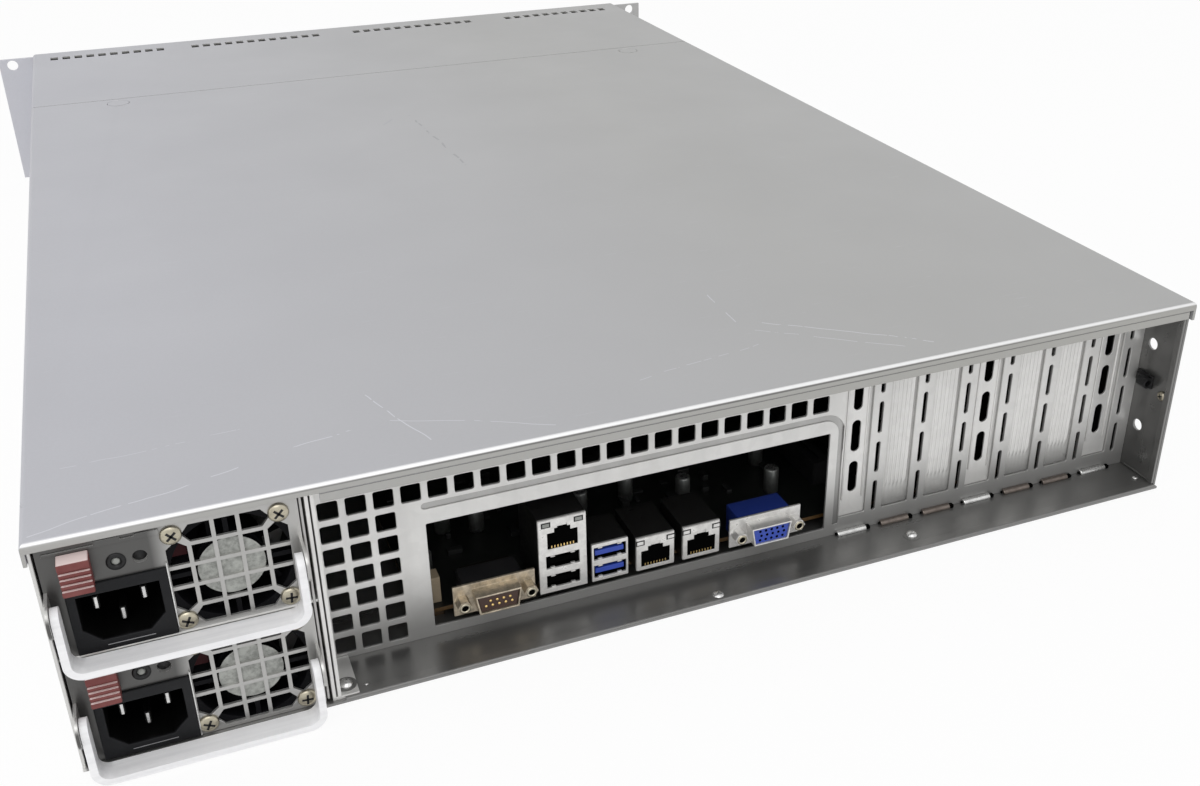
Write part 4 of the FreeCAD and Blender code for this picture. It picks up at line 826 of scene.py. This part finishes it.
class SERVER_OT_slot_blanks(Operator):
    """Build the slot blanks: three vented, four pressed with fine flutes"""

    bl_idname = "server.slot_blanks"
    bl_label = "Slot blanks"

    def execute(self, context):
        low, high = limits("slot_blanks")
        back = high[1]
        for number, slot in enumerate(SLOTS):
            name = f"slot_blank_{number + 1}"
            if number in VENTED_BLANKS:
                piece = self.vented(name, slot, low[2], high[2], back)
            else:
                piece = self.fluted(name, slot, low[2], high[2], back)
            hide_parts("slot_blanks")
        return {"FINISHED"}

    @staticmethod
    def vented(name, slot, low, high, back):
        """A flat plate with three long vents and a pressed rib at each side of them."""
        border = rounded(slot - BLANK_HALF, slot + BLANK_HALF, low, high, CORNER)
        sills = [19.5 + 18.8 * step for step in range(3)]
        vents = [rounded(slot - 2, slot + 2, sill, sill + 14.2, 1.98) for sill in sills]
        piece = sheet_piece(name, [border, *vents], back - BLANK, BLANK, "blank", "chassis", "zinc_steel")
        form = bmesh.new()
        rod = [(0, 0), (0.45, 1), (0.45, 57), (0, 58)]
        for across in (-4.6, 4.6):
            add_turned(form, (slot + across, back - BLANK, 16), UP, rod, 8)
        ribs = mesh_piece(f"{name}_ribs", form, "blank", "chassis", "zinc_steel", smooth=True)
        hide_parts("slot_blanks")
        return piece

    @staticmethod
    def fluted(name, slot, low, high, back):
        """A plate whose middle is pressed into six narrow flutes with tapered ends."""
        form = bmesh.new()
        half, flutes, steps, depth = 5.6, 6, 48, 0.85
        pressed = [-half + 2 * half * step / steps for step in range(steps + 1)]
        across = [-BLANK_HALF, -6.0, *pressed, 6.0, BLANK_HALF]
        taper = ((low, 0), (17.5, 0), (18.5, 0.25), (19.5, 0.6), (21.0, 0.8), (74.0, 0.8), (76.0, 0.4),
                 (77.0, 0), (high, 0))
        rows = []
        for z, share in taper:
            row = []
            for x in across:
                wave = 0
                if abs(x) < half + 0.01:
                    wave = 0.5 - 0.5 * math.cos((x + half) / half * flutes * math.pi)
                row.append(form.verts.new(Vector((slot + x, back - BLANK - depth * share * wave, z)) * MM))
            rows.append(row)
        corners = ((-BLANK_HALF, low), (BLANK_HALF, low), (BLANK_HALF, high), (-BLANK_HALF, high))
        behind = [form.verts.new(Vector((slot + x, back, z)) * MM) for x, z in corners]
        for lower, upper in zip(rows, rows[1:]):
            for left in range(len(across) - 1):
                form.faces.new((lower[left], lower[left + 1], upper[left + 1], upper[left]))
        form.faces.new(behind[::-1])
        form.faces.new([*rows[0][::-1], behind[0], behind[1]])
        form.faces.new([*rows[-1], behind[2], behind[3]])
        form.faces.new([*(row[0] for row in rows), behind[3], behind[0]])
        form.faces.new([*(row[-1] for row in rows[::-1]), behind[1], behind[2]])
        return mesh_piece(name, form, "blank", "chassis", "zinc_steel", smooth=True)


class SERVER_OT_fixings(Operator):
    """Add the hooks, rivets, hems and marks of the sheet metal"""

    bl_idname = "server.fixings"
    bl_label = "Sheet fixings"

    def execute(self, context):
        self.hooks()
        self.rivets(context.scene.server_sizes.rivet_radius / MM)
        self.hems()
        self.cover_marks()
        return {"FINISHED"}

    @staticmethod
    def hooks():
        """The hooks at the foot of each slot, bright or worn, and painted shade in the ends of their
        cut-outs.
        """
        bright, brown, ends = bmesh.new(), bmesh.new(), bmesh.new()
        low = FLOOR + 0.02
        section = [(PANEL - 2.4, FLOOR + 0.05), (PANEL - 2.2, FLOOR + 1.1), (PANEL - 1.4, FLOOR + 1.8),
                   (PANEL - 0.1, FLOOR + 1.9), (PANEL - 0.1, FLOOR + 0.05)]
        for number, slot in enumerate(SLOTS):
            form = bright if number in VENTED_BLANKS else brown
            add_prism(form, section, slot - 6.6, slot + 6.6, "x")
            # Painted shade: dark blocks in the ends of the cut-outs.
            add_block(ends, (slot + 6.7, PANEL - 2, low), (slot + 8.5, PANEL - 0.12, FLOOR + 1.4))
            add_block(ends, (slot - 7.2, PANEL - 1.1, low), (slot - 6.7, PANEL - 0.12, FLOOR + 1))
        mesh_piece("vented_slot_hooks", bright, "steel", "chassis", "zinc_steel", 0.0003)
        mesh_piece("fluted_slot_hooks", brown, "brown_steel", "chassis", "zinc_steel", 0.0003)
        mesh_piece("slot_hook_end_shade", ends, "void", "chassis", "zinc_steel", 0.0002)

    @staticmethod
    def rivets(radius):
        """The floor's domed rivets with their seats, small studs, and the screw in the right wall."""
        dome = ((1, 0), (0.97, 0.2), (0.8, 0.45), (0.5, 0.62), (0.2, 0.7), (0, 0.71))
        domes, rings = bmesh.new(), bmesh.new()
        for spot in ((9, REAR + 3.5, FLOOR), (99, REAR + 9.5, FLOOR), (-131.7, REAR + 6.7, 2 * FLOOR)):
            add_turned(domes, spot, UP, [(radius * across, radius * rise) for across, rise in dome])
            add_turned(rings, spot, UP, [(radius * 1.5, 0), (radius * 1.5, 0.12), (radius * 0.9, 0.14)])
        for spot, size in (((213, REAR + 9, FLOOR), 1.5), ((-125, REAR + 5.5, FLOOR), 0.8)):
            add_turned(domes, spot, UP, [(size, 0), (size * 0.8, size * 0.4), (0, size * 0.55)])
        head = [(1.2, 0), (0.9, 0.35), (0, 0.5)]
        for z in (12, 33, 56, 79):
            add_turned(domes, (PANEL_LEFT + 1.8, REAR + 11.5, z), RIGHT, head, 16)
        mesh_piece("floor_rivets", domes, "steel", "chassis", "zinc_steel", smooth=True)
        mesh_piece("rivet_seats", rings, "tray", "chassis", "zinc_steel")
        spot = (WALL - 0.1, REAR + 6.1, 42.6)
        screws("wall_screw", [spot], LEFT, 2.1, 1.2, "chassis", "zinc_steel")

    @staticmethod
    def hems():
        """The folded edges along the floor's rear and up the right wall, and the bay's guide."""
        top = FLOOR + 0.75
        form = bmesh.new()
        fold = [(REAR, FLOOR), (REAR + 0.15, FLOOR + 0.55), (REAR + 0.6, top), (REAR + 3.9, top),
                (REAR + 4.1, FLOOR)]
        add_prism(form, fold, PANEL_LEFT + 3, WALL - 0.1, "x")
        add_block(form, (-216.9, REAR + 0.1, FLOOR), (-138.5, REAR + 2.1, FLOOR + 0.25))
        mesh_piece("floor_hem", form, "tray", "chassis", "zinc_steel", 0.0002)
        upright = ((WALL - 1.1, REAR + 1.4, top), (WALL, REAR + 4.3, 84.2))
        foot = ((WALL - 0.5, REAR + 4.3, top), (WALL, REAR + 19.5, FLOOR + 1.4))
        block_piece("wall_hem", [upright, foot], "tray", "chassis", "zinc_steel", 0.0003)
        guide = ((PANEL_LEFT - 2.9, REAR + 1.6, FLOOR + 1), (PANEL_LEFT - 2, REAR + 11.5, 83.5))
        block_piece("bay_guide", [guide], "plated", "chassis", "bay_steel", 0.0003)

    @staticmethod
    def cover_marks():
        """Small raised marks on the cover, and the folded hem of its lip."""
        level = COVER_TOP - 0.2
        form = bmesh.new()
        add_turned(form, (-216.9, -300.5, level), UP, [(1.3, 0), (1.1, 0.12), (0.4, 0.19), (0, 0.2)], 20)
        for hand in (-1, 1):
            add_turned(form, (168.8 * hand, 145, level), UP, [(2.4, 0), (2.2, 0.1), (1.2, 0.18), (0, 0.2)])
        mesh_piece("cover_marks", form, "cover", "cover", "cover_steel", smooth=True)
        hem = ((PANEL_LEFT + 3.5, REAR + 0.05, 80.9), (WALL - 0.4, REAR + 1, 84.35))
        block_piece("cover_hem", [hem], "cover", "cover", "cover_steel", 0.0003)


class SERVER_OT_tie_mount(Operator):
    """Build the black tie mount: a foot on the wall and an open ring"""

    bl_idname = "server.tie_mount"
    bl_label = "Tie mount"

    def execute(self, context):
        low, high = limits("cable_clip")
        middle = [(a + b) / 2 for a, b in zip(low, high)]
        foot = high[0] - 1.2
        form = bmesh.new()
        add_block(form, (foot, low[1], low[2]), high)
        add_block(form, (low[0] + 1.4, middle[1] - 2.6, middle[2] - 0.4), (foot, middle[1] + 2.6, high[2]))
        self.ring(form, (low[0] + 2.4, low[1] + 0.2, middle[2]), 2.4, 1.5, 5.2)
        piece = mesh_piece("tie_ring", form, "black", "chassis", "black_plastic", 0.0003)
        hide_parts("cable_clip")
        return {"FINISHED"}

    @staticmethod
    def ring(form, spot, outer, inner, length, steps=20):
        """A tube along Y."""
        turns = [2 * math.pi * step / steps for step in range(steps)]
        loops = []
        for radius, y in ((outer, 0), (outer, length), (inner, length), (inner, 0)):
            rim = [Vector((radius * math.cos(turn), y, radius * math.sin(turn))) for turn in turns]
            loops.append([form.verts.new((Vector(spot) + point) * MM) for point in rim])
        for first, second in zip(loops, loops[1:] + loops[:1]):
            for step in range(steps):
                after = (step + 1) % steps
                form.faces.new((first[step], first[after], second[after], second[step]))


class SERVER_OT_power_modules(Operator):
    """Dress both power modules: fan screws, film disc, lamps, mains blades and edge strips"""

    bl_idname = "server.power_modules"
    bl_label = "Power modules"

    def execute(self, context):
        sizes = context.scene.server_sizes
        for name in ("psu_lower", "psu_upper"):
            base = limits(f"{name}_case")[LOW][2]
            fan_x, fan_z = centre(f"{name}_fan_frame")
            spots = [(fan_x + x, MODULE_FACE, fan_z + z) for x in (-16, 16) for z in (-16, 16)]
            screws(f"{name}_fan", spots, REARWARD, sizes.screw_radius / MM, sizes.screw_height / MM, name,
                   "psu_steel")
            self.fan(name, fan_x, fan_z)
            self.lamps(name, base + 30.8)
            self.socket(name, *centre(f"{name}_inlet"))
            self.strips(name, base)
        return {"FINISHED"}

    @staticmethod
    def fan(name, x, z):
        """The film on the hub, a dark sheet at the back of the fan's chamber as painted shade, and the fan's
        red lead.
        """
        film = bmesh.new()
        add_turned(film, (x, side(f"{name}_fan_frame", LOW, "Y"), z), REARWARD,
                   [(10.3, -0.1), (10.3, 0.08), (10.1, 0.14), (0, 0.15)], 48)
        mesh_piece(f"{name}_film", film, "label", name, "fan_plastic")
        # Painted shade: a dark sheet behind the fan.
        back = ((x - 18.8, MODULE_FACE + 22.6, z - 18.8), (x + 18.8, MODULE_FACE + 23, z + 18.8))
        block_piece(f"{name}_fan_back_shade", [back], "fan", name, "fan_plastic")
        lead = ((x - 18.2, MODULE_FACE + 1.2, z + 7), (x - 12, MODULE_FACE + 2.2, z + 14.5))
        block_piece(f"{name}_fan_lead", [lead], "dark_red", name, "fan_plastic", 0.0006)

    @staticmethod
    def lamps(name, z):
        """The lamp with its ring, and a black disc in the hole beside it as painted shade."""
        lamp, hole = (-193.9, MODULE_FACE, z), (-187.1, MODULE_FACE, z)
        rings = bmesh.new()
        add_turned(rings, lamp, REARWARD, [(2.38, -2.4), (2.9, -0.02), (2.9, 0.25), (2.2, 0.5), (1.5, 0.35),
                                           (1.4, -1.5), (0, -1.5)], 28)
        # Painted shade: a black disc inside the hole.
        add_turned(rings, hole, REARWARD, [(2.18, -2.6), (2.18, -1.4), (0, -1.4)])
        mesh_piece(f"{name}_lamp_ring", rings, "black", name, "black_plastic", smooth=True)
        lens = bmesh.new()
        add_turned(lens, lamp, REARWARD, [(1.35, -1.4), (1.3, -0.2), (0.9, 0.2), (0.4, 0.38), (0, 0.4)])
        mesh_piece(f"{name}_lamp_lens", lens, "lamp", name, "black_plastic", smooth=True)

    @staticmethod
    def socket(name, x, z):
        """Painted shade on the inlet's floor, the tips of its three blades, and a painted highlight line
        under it.
        """
        # Painted shade: a near-black floor inside the mouth.
        liner = ((x - 11.9, MODULE_FACE + 14.4, z - 8.4), (x + 11.9, MODULE_FACE + 14.9, z + 8.4))
        block_piece(f"{name}_socket_floor_shade", [liner], "void", name, "black_plastic")
        tips = []
        for across, level in ((-7, z + 2.5), (0, z - 3.5), (7, z + 2.5)):
            tips.append(((x + across - 0.55, MODULE_FACE + 3.5, level - 2.1),
                         (x + across + 0.55, MODULE_FACE + 4, level + 2.1)))
        block_piece(f"{name}_blade_tips", tips, "steel", name, "black_plastic", 0.0002)
        face = side(f"{name}_inlet", LOW, "Y")
        # Painted highlight: a grey line under the mouth.
        line = ((x - 6, face - 0.08, z - 10.6), (x + 8, face + 0.04, z - 10.35))
        block_piece(f"{name}_socket_highlight", [line], "grey", name, "black_plastic")

    @staticmethod
    def strips(name, base):
        """The notched top flange and the bright edge beside the inlet."""
        form = bmesh.new()
        outline = ((-213.5, 37.4), (-180.6, 37.4), (-180.6, 39.2), (-187.5, 39.2), (-187.5, 38.6),
                   (-191.5, 38.6), (-191.5, 39.6), (-199, 39.6), (-199, 38.4), (-213.5, 38.4))
        add_prism(form, [(x, base + z) for x, z in outline], MODULE_FACE - 0.7, MODULE_FACE)
        mesh_piece(f"{name}_flange", form, "plated", name, "psu_steel", 0.0002)
        edge = ((-180.45, MODULE_FACE - 1.1, base + 0.5), (-179.95, MODULE_FACE, base + 27))
        block_piece(f"{name}_edge", [edge], "steel", name, "psu_steel", 0.0002)


class SERVER_OT_connectors(Operator):
    """Dress the window's connectors: face plates, painted shade in the mouths, tongues, pins and posts"""

    bl_idname = "server.connectors"
    bl_label = "Connectors"

    def execute(self, context):
        self.jack("network_usb_stack", -56.2, -37.6, 27.0, 41.4, "lamp")
        self.jack("network_ports", -17.8, -2.2, BOARD, 23.7, "tin")
        self.jack("network_ports", 1.4, 16.9, BOARD, 23.7, "tin")
        # The tall ports' tongues are black plastic in the near black used for painted shade.
        self.flat_ports("tall", -53.4, -40.4, (11.1, 19.7), "void")
        self.flat_ports("double", -34.8, -21.9, (10.5, 18.5), "blue")
        self.insert("serial", -73.5, "brown", (5, 4), "gold")
        # The display insert's sockets are near-black domes: painted shade.
        self.insert("display", 36.9, "blue", (5, 5, 5), "void")
        self.housing("display", 25.6, 48.2, 21.2, "deep_blue")
        self.housing("serial", -84.8, -62.2, 20.9, "black")
        return {"FINISHED"}

    @staticmethod
    def jack(node, left, right, low, high, lens):
        """A shielded jack's face: a stepped mouth with painted shade inside, contacts and two lamp windows.
        """
        middle = (left + right) / 2
        sill = low + 1.6
        half = [(5.9, 0), (5.9, 7), (3.1, 7), (3.1, 8.8), (1.9, 8.8), (1.9, 10.2)]
        mouth = [(middle + x, sill + z) for x, z in half]
        mouth += [(middle - x, sill + z) for x, z in reversed(half)]
        tag = f"{node}_{round(left + 100)}"
        where = ("chassis", "port_shell")
        border = rounded(left + 0.1, right - 0.1, low + 0.1, high - 0.1, 0.4)
        sheet_piece(f"{tag}_face", [border, mouth], PORT_FACE - 0.3, 0.3, "tin", *where, 0.05)
        # Painted shade: a near-black block inside the mouth.
        inside = ((middle - 6.6, PORT_FACE + 0.02, sill - 0.3), (middle + 6.6, PORT_FACE + 0.5, sill + 10.4))
        block_piece(f"{tag}_inside", [inside], "void", *where)
        contacts, frames, lenses = [], [], []
        for step in range(8):
            x = middle - 4.2 + 1.2 * step
            contacts.append(((x - 0.2, PORT_FACE - 0.12, sill + 0.2),
                             (x + 0.2, PORT_FACE - 0.05, sill + 1.3)))
        for x in (middle - 6.3, middle + 6.3):
            frames.append(((x - 1.8, PORT_FACE - 0.42, high - 3.2), (x + 1.8, PORT_FACE - 0.28, high - 1)))
            lenses.append(((x - 1.3, PORT_FACE - 0.5, high - 2.8), (x + 1.3, PORT_FACE - 0.4, high - 1.4)))
        block_piece(f"{tag}_contacts", contacts, "gold", *where)
        block_piece(f"{tag}_lamp_frames", frames, "black", *where)
        block_piece(f"{tag}_lamps", lenses, lens, *where, 0.0002)

    @staticmethod
    def flat_ports(tag, left, right, sills, colour):
        """Painted shade inside two flat ports, one over the other, with their tongues and springs."""
        dark = bmesh.new()
        tongues, springs = [], []
        for sill in sills:
            # Painted shade: a near-black back and cup inside each port.
            add_block(dark, (left + 0.05, PORT_FACE + 3.2, sill + 0.05),
                      (right - 0.05, PORT_FACE + 3.6, sill + 5.5))
            add_cup(dark, (left + 0.02, PORT_FACE + 0.9, sill + 0.02),
                    (right - 0.02, PORT_FACE + 3.3, sill + 5.55), 0.12)
            tongues.append(((left + 0.7, PORT_FACE + 0.7, sill + 1.7),
                            (right - 0.7, PORT_FACE + 3, sill + 3.8)))
            for x in (left + 2.6, right - 2.6):
                for low, high in ((4.9, 5.4), (0.1, 0.5)):
                    springs.append(((x - 0.9, PORT_FACE + 0.1, sill + low),
                                    (x + 0.9, PORT_FACE + 1.4, sill + high)))
        mesh_piece(f"{tag}_port_inside_shade", dark, "void", "chassis", "port_shell")
        block_piece(f"{tag}_port_tongues", tongues, colour, "chassis", "port_shell", 0.0002)
        block_piece(f"{tag}_port_springs", springs, "tin", "chassis", "port_shell", 0.0002)

    @staticmethod
    def insert(tag, middle, colour, rows, metal, level=15.35):
        """The insert of a shell: a block with rows of pins, or of near-black domes as painted shade in
        sockets, and painted shade in the holes of the posts.
        """
        reach = PORT_FACE - 5.4
        where = ("chassis", "port_shell")
        block = bmesh.new()
        outline = [(middle - 6.7, level - 3.3), (middle + 6.7, level - 3.3), (middle + 7.8, level + 3.3),
                   (middle - 7.8, level + 3.3)]
        add_prism(block, outline, reach, PORT_FACE - 0.6)
        mesh_piece(f"{tag}_insert", block, colour, *where, 0.0003)
        pins = bmesh.new()
        pin = [(0.55, -0.2), (0.55, 0.1), (0.3, 0.3), (0, 0.32)]
        for line, count in enumerate(rows):
            z = level + (line - (len(rows) - 1) / 2) * 1.98
            offset = 0.55 if line % 2 else 0
            for step in range(count):
                x = middle + offset + (step - (count - 1) / 2) * 2.45
                add_turned(pins, (x, reach, z), REARWARD, pin, 10)
        mesh_piece(f"{tag}_pins", pins, metal, *where, smooth=True)
        rims, bores = bmesh.new(), bmesh.new()
        rim = [(2.1, -0.1), (2.1, 0.2), (1.7, 0.45), (1.3, 0.45), (1.2, -0.1)]
        for across in (-12.5, 12.5):
            spot = (middle + across, PORT_FACE - 5, level)
            add_turned(rims, spot, REARWARD, rim, 20)
            # Painted shade: a near-black disc in each post's hole.
            add_turned(bores, spot, REARWARD, [(1.25, -0.1), (1.25, 0.12), (0, 0.12)], 20)
        mesh_piece(f"{tag}_post_rims", rims, "nickel", *where, smooth=True)
        mesh_piece(f"{tag}_post_bore_shade", bores, "void", *where)

    @staticmethod
    def housing(tag, left, right, top, colour):
        """The plastic housing behind a shell's flange."""
        block = ((left, PORT_FACE + 1, BOARD + 0.1), (right, PORT_FACE + 12, top))
        block_piece(f"{tag}_housing", [block], colour, "chassis", "port_shell", 0.0004)


# Where the capacitors stand on the board, and how far across the leads hang.
CAPACITOR_SPOTS = ((-95.5, -262), (-93, -276), (-79, -248), (-66, -252), (-24, -258), (-3, -255), (20, -262),
                   (56, -272), (60, -250))
LEAD_SPOTS = (-86, -74, -62, 28, 39)


class SERVER_OT_board_parts(Operator):
    """Stand capacitors, a header, chips and coils on the board; leads hang free above it"""

    bl_idname = "server.board_parts"
    bl_label = "Board parts"

    def execute(self, context):
        draw = random.Random(11)
        where = ("chassis", "board_laminate")
        cans, marks = bmesh.new(), bmesh.new()
        for index in range(context.scene.server_sizes.capacitors):
            x, y = CAPACITOR_SPOTS[index % len(CAPACITOR_SPOTS)]
            tall = draw.uniform(9, 13)
            add_turned(cans, (x, y, BOARD), UP, [(3.1, 0), (3.1, tall - 0.5), (2.8, tall), (0, tall)], 20)
            add_turned(marks, (x, y, BOARD + tall), UP, [(2.7, -0.1), (2.7, 0.06), (0, 0.06)], 20)
        mesh_piece("board_capacitors", cans, "can", *where, smooth=True)
        mesh_piece("board_capacitor_tops", marks, "steel", *where)
        body = ((-99, -293, BOARD), (-91, -287, BOARD + 11))
        face = ((-98.2, -293.3, BOARD + 2), (-91.8, -292.9, BOARD + 9))
        block_piece("board_header", [body, face], "beige", *where, 0.0005)
        chips = []
        for _ in range(34):
            x, y = draw.uniform(-98, 62), draw.uniform(-268, -215)
            wide, deep = draw.uniform(1.5, 6), draw.uniform(1.5, 6)
            chips.append(((x, y, BOARD), (x + wide, y + deep, BOARD + draw.uniform(0.8, 2.5))))
        block_piece("board_chips", chips, "chip", *where, 0.0002)
        coils = [((x, -236, BOARD), (x + 9, -227, BOARD + 7)) for x in range(-62, 57, 17)]
        block_piece("board_coils", coils, "chip", *where, 0.0008)
        wires = bmesh.new()
        for x in LEAD_SPOTS:
            add_turned(wires, (x, -205, 52), UP, [(0.9, 0), (0.9, 16), (0, 16.3)], 12)
        mesh_piece("board_leads", wires, "can", *where, smooth=True)
        return {"FINISHED"}


class SERVER_OT_front(Operator):
    """Add ribs and lamps to the drive levers, lamps and collars to the controls, rivets to the ears"""

    bl_idname = "server.front"
    bl_label = "Front"

    def execute(self, context):
        for column in "abcd":
            for line in "12":
                self.lever(f"drive_lever_{column}{line}")
        self.controls()
        self.ear_rivets()
        return {"FINISHED"}

    @staticmethod
    def lever(name):
        """Four ribs on the lever's hinged end and two small lamps on its free end."""
        low, high = limits(name)
        face, middle = high[1], (low[2] + high[2]) / 2
        rib = ((0, -0.1), (0.3, 0.3), (0.6, 0.3), (0.9, -0.1))
        ribs = bmesh.new()
        for step in range(4):
            x = low[0] + 3.2 + 1.6 * step
            add_prism(ribs, [(x + across, face + rise) for across, rise in rib], middle - 7, middle + 7, "z")
        mesh_piece(f"{name}_ribs", ribs, "black", name, "tray_plastic")
        lens = bmesh.new()
        for rise in (-3, 3):
            add_turned(lens, (high[0] - 4, face, middle + rise), FORWARD,
                       [(1.1, -0.1), (1.1, 0.12), (0.8, 0.28), (0, 0.34)], 16)
        mesh_piece(f"{name}_lamps", lens, "lamp", name, "tray_plastic", smooth=True)

    @staticmethod
    def controls():
        """A row of lamps on the control panel and a collar round each button."""
        low, high = limits("control_panel")
        lenses = bmesh.new()
        for step in range(5):
            add_turned(lenses, (low[0] + 12 + 9.5 * step, high[1], low[2] + 5.5), FORWARD,
                       [(1.3, -0.1), (1.3, 0.1), (0.9, 0.4), (0, 0.5)], 16)
        mesh_piece("control_lamps", lenses, "lamp", "chassis", "black_plastic", smooth=True)
        for name in ("power_button", "reset_button"):
            low, high = limits(name)
            ring = bmesh.new()
            add_turned(ring, ((low[0] + high[0]) / 2, FRONT, (low[2] + high[2]) / 2), FORWARD,
                       [(5.6, -0.1), (5.5, 0.35), (4.9, 0.5), (4.45, 0.2), (4.4, -0.1)], 36)
            mesh_piece(f"{name}_collar", ring, "grey", "chassis", "black_plastic", smooth=True)

    @staticmethod
    def ear_rivets():
        """Three rivet heads on the outer side of each ear."""
        outer = side("chassis_tray", HIGH, "X") + 1.2
        rivets = bmesh.new()
        head = [(2.6, 0), (2.3, 0.6), (1.2, 1), (0, 1.1)]
        for hand in (-1, 1):
            for y, z in ((296, 16), (296, 70), (310, 43)):
                add_turned(rivets, (hand * outer, y, z), (hand, 0, 0), head, 20)
        mesh_piece("ear_rivets", rivets, "steel", "chassis", "ear_steel", smooth=True)


class SERVER_OT_stage(Operator):
    """Set up the floor, the world, the lamps and the camera"""

    bl_idname = "server.stage"
    bl_label = "Stage"

    def execute(self, context):
        stage = context.scene.server_stage
        self.floor()
        self.world(context.scene, stage.ambient)
        self.lamps(stage)
        self.camera(context.scene, stage)
        context.scene.view_settings.view_transform = "Standard"
        return {"FINISHED"}

    @staticmethod
    def floor():
        """A pale floor that the camera sees as near white."""
        form = bmesh.new()
        bmesh.ops.create_grid(form, x_segments=1, y_segments=1, size=6)
        mesh = bpy.data.meshes.new("floor")
        form.to_mesh(mesh)
        form.free()
        floor = bpy.data.objects.new("floor", mesh)
        bpy.context.scene.collection.objects.link(floor)
        floor.location.z = CAD_LOW[2] - 0.0004
        look = Nodes("pale_floor")
        look.surface.inputs["Roughness"].default_value = 0.9
        look.join(look.ramp(look.noise(3.0, 2), (0.93, 0.93, 0.93), (0.95, 0.95, 0.95)),
                  look.surface.inputs["Base Color"])
        glow = look.add("ShaderNodeEmission")
        glow.inputs["Color"].default_value = (1, 1, 1, 1)
        ray = look.add("ShaderNodeLightPath")
        seen = look.math("MAXIMUM", ray.outputs["Is Camera Ray"], ray.outputs["Is Glossy Ray"])
        blend = look.add("ShaderNodeMixShader")
        look.join(look.math("MULTIPLY", seen, 0.93), blend.inputs["Fac"])
        look.join(look.surface.outputs["BSDF"], blend.inputs[1])
        look.join(glow.outputs["Emission"], blend.inputs[2])
        look.join(blend.outputs["Shader"], look.output.inputs["Surface"])
        mesh.materials.append(look.material)

    @staticmethod
    def world(scene, ambient):
        """White where it is seen, and a softer light everywhere else."""
        world = bpy.data.worlds.new("studio")
        scene.world = world
        world.use_nodes = True
        tree = world.node_tree
        tree.nodes.clear()
        output = tree.nodes.new("ShaderNodeOutputWorld")
        soft = tree.nodes.new("ShaderNodeBackground")
        soft.inputs["Color"].default_value = (1, 1, 1, 1)
        soft.inputs["Strength"].default_value = ambient
        white = tree.nodes.new("ShaderNodeBackground")
        white.inputs["Color"].default_value = (1, 1, 1, 1)
        white.inputs["Strength"].default_value = 1.0
        ray = tree.nodes.new("ShaderNodeLightPath")
        seen = ray.outputs["Is Camera Ray"]
        for kind in ("Is Transmission Ray", "Is Glossy Ray"):
            either = tree.nodes.new("ShaderNodeMath")
            either.operation = "MAXIMUM"
            tree.links.new(seen, either.inputs[0])
            tree.links.new(ray.outputs[kind], either.inputs[1])
            seen = either.outputs["Value"]
        blend = tree.nodes.new("ShaderNodeMixShader")
        tree.links.new(seen, blend.inputs["Fac"])
        tree.links.new(soft.outputs["Background"], blend.inputs[1])
        tree.links.new(white.outputs["Background"], blend.inputs[2])
        tree.links.new(blend.outputs["Shader"], output.inputs["Surface"])

    @staticmethod
    def lamps(stage):
        """A large lamp over the rear and a smaller one on the left."""
        for name, spot, aim, size, power in (
                ("key", (-0.35, -1.5, 1.5), (0, -0.1, 0), 1.4, stage.key),
                ("fill", (-1.5, -0.3, 1.0), (0, 0, 0), 1.2, stage.fill)):
            light = bpy.data.lights.new(name, "AREA")
            light.energy = power
            light.size = size
            lamp = bpy.data.objects.new(name, light)
            lamp.location = spot
            lamp.rotation_euler = (Vector(aim) - Vector(spot)).to_track_quat("-Z", "Y").to_euler()
            bpy.context.scene.collection.objects.link(lamp)

    @staticmethod
    def camera(scene, stage):
        """The view from above the rear left corner."""
        eye = bpy.data.cameras.new("rear_view")
        eye.sensor_width = 36
        eye.lens = stage.lens
        eye.shift_x = stage.shift_x
        eye.shift_y = stage.shift_y
        eye.clip_start = 0.01
        camera = bpy.data.objects.new("rear_view", eye)
        bpy.context.scene.collection.objects.link(camera)
        turn = (Matrix.Rotation(-stage.yaw, 3, "Z") @ Matrix.Rotation(math.pi / 2 - stage.pitch, 3, "X")
                @ Matrix.Rotation(stage.roll, 3, "Z"))
        camera.rotation_euler = turn.to_euler()
        camera.location = stage.camera
        scene.camera = camera


class SERVER_PT_panel(Panel):
    """Steps that dress the server"""

    bl_idname = "SERVER_PT_panel"
    bl_label = "Rack server"
    bl_space_type = "VIEW_3D"
    bl_region_type = "UI"
    bl_category = "Server"

    def draw(self, context):
        for step in STEPS:
            self.layout.operator(step.bl_idname)
        for group in ("server_colours", "server_sizes", "server_stage"):
            for name in getattr(context.scene, group).bl_rna.properties.keys():
                if name not in ("rna_type", "name"):
                    self.layout.prop(getattr(context.scene, group), name)


STEPS = (SERVER_OT_finishes, SERVER_OT_rear_panel, SERVER_OT_slot_blanks, SERVER_OT_fixings,
         SERVER_OT_tie_mount, SERVER_OT_power_modules, SERVER_OT_connectors, SERVER_OT_board_parts,
         SERVER_OT_front, SERVER_OT_stage)
CLASSES = (ServerColours, ServerSizes, ServerStage) + STEPS + (SERVER_PT_panel,)


def register():
    for item in CLASSES:
        bpy.utils.register_class(item)
    bpy.types.Scene.server_colours = PointerProperty(type=ServerColours)
    bpy.types.Scene.server_sizes = PointerProperty(type=ServerSizes)
    bpy.types.Scene.server_stage = PointerProperty(type=ServerStage)


def unregister():
    for name in ("server_stage", "server_sizes", "server_colours"):
        delattr(bpy.types.Scene, name)
    for item in reversed(CLASSES):
        bpy.utils.unregister_class(item)


def main():
    register()
    for step in STEPS:
        group, name = step.bl_idname.split(".")
        getattr(getattr(bpy.ops, group), name)()


if __name__ == "__main__":
    main()
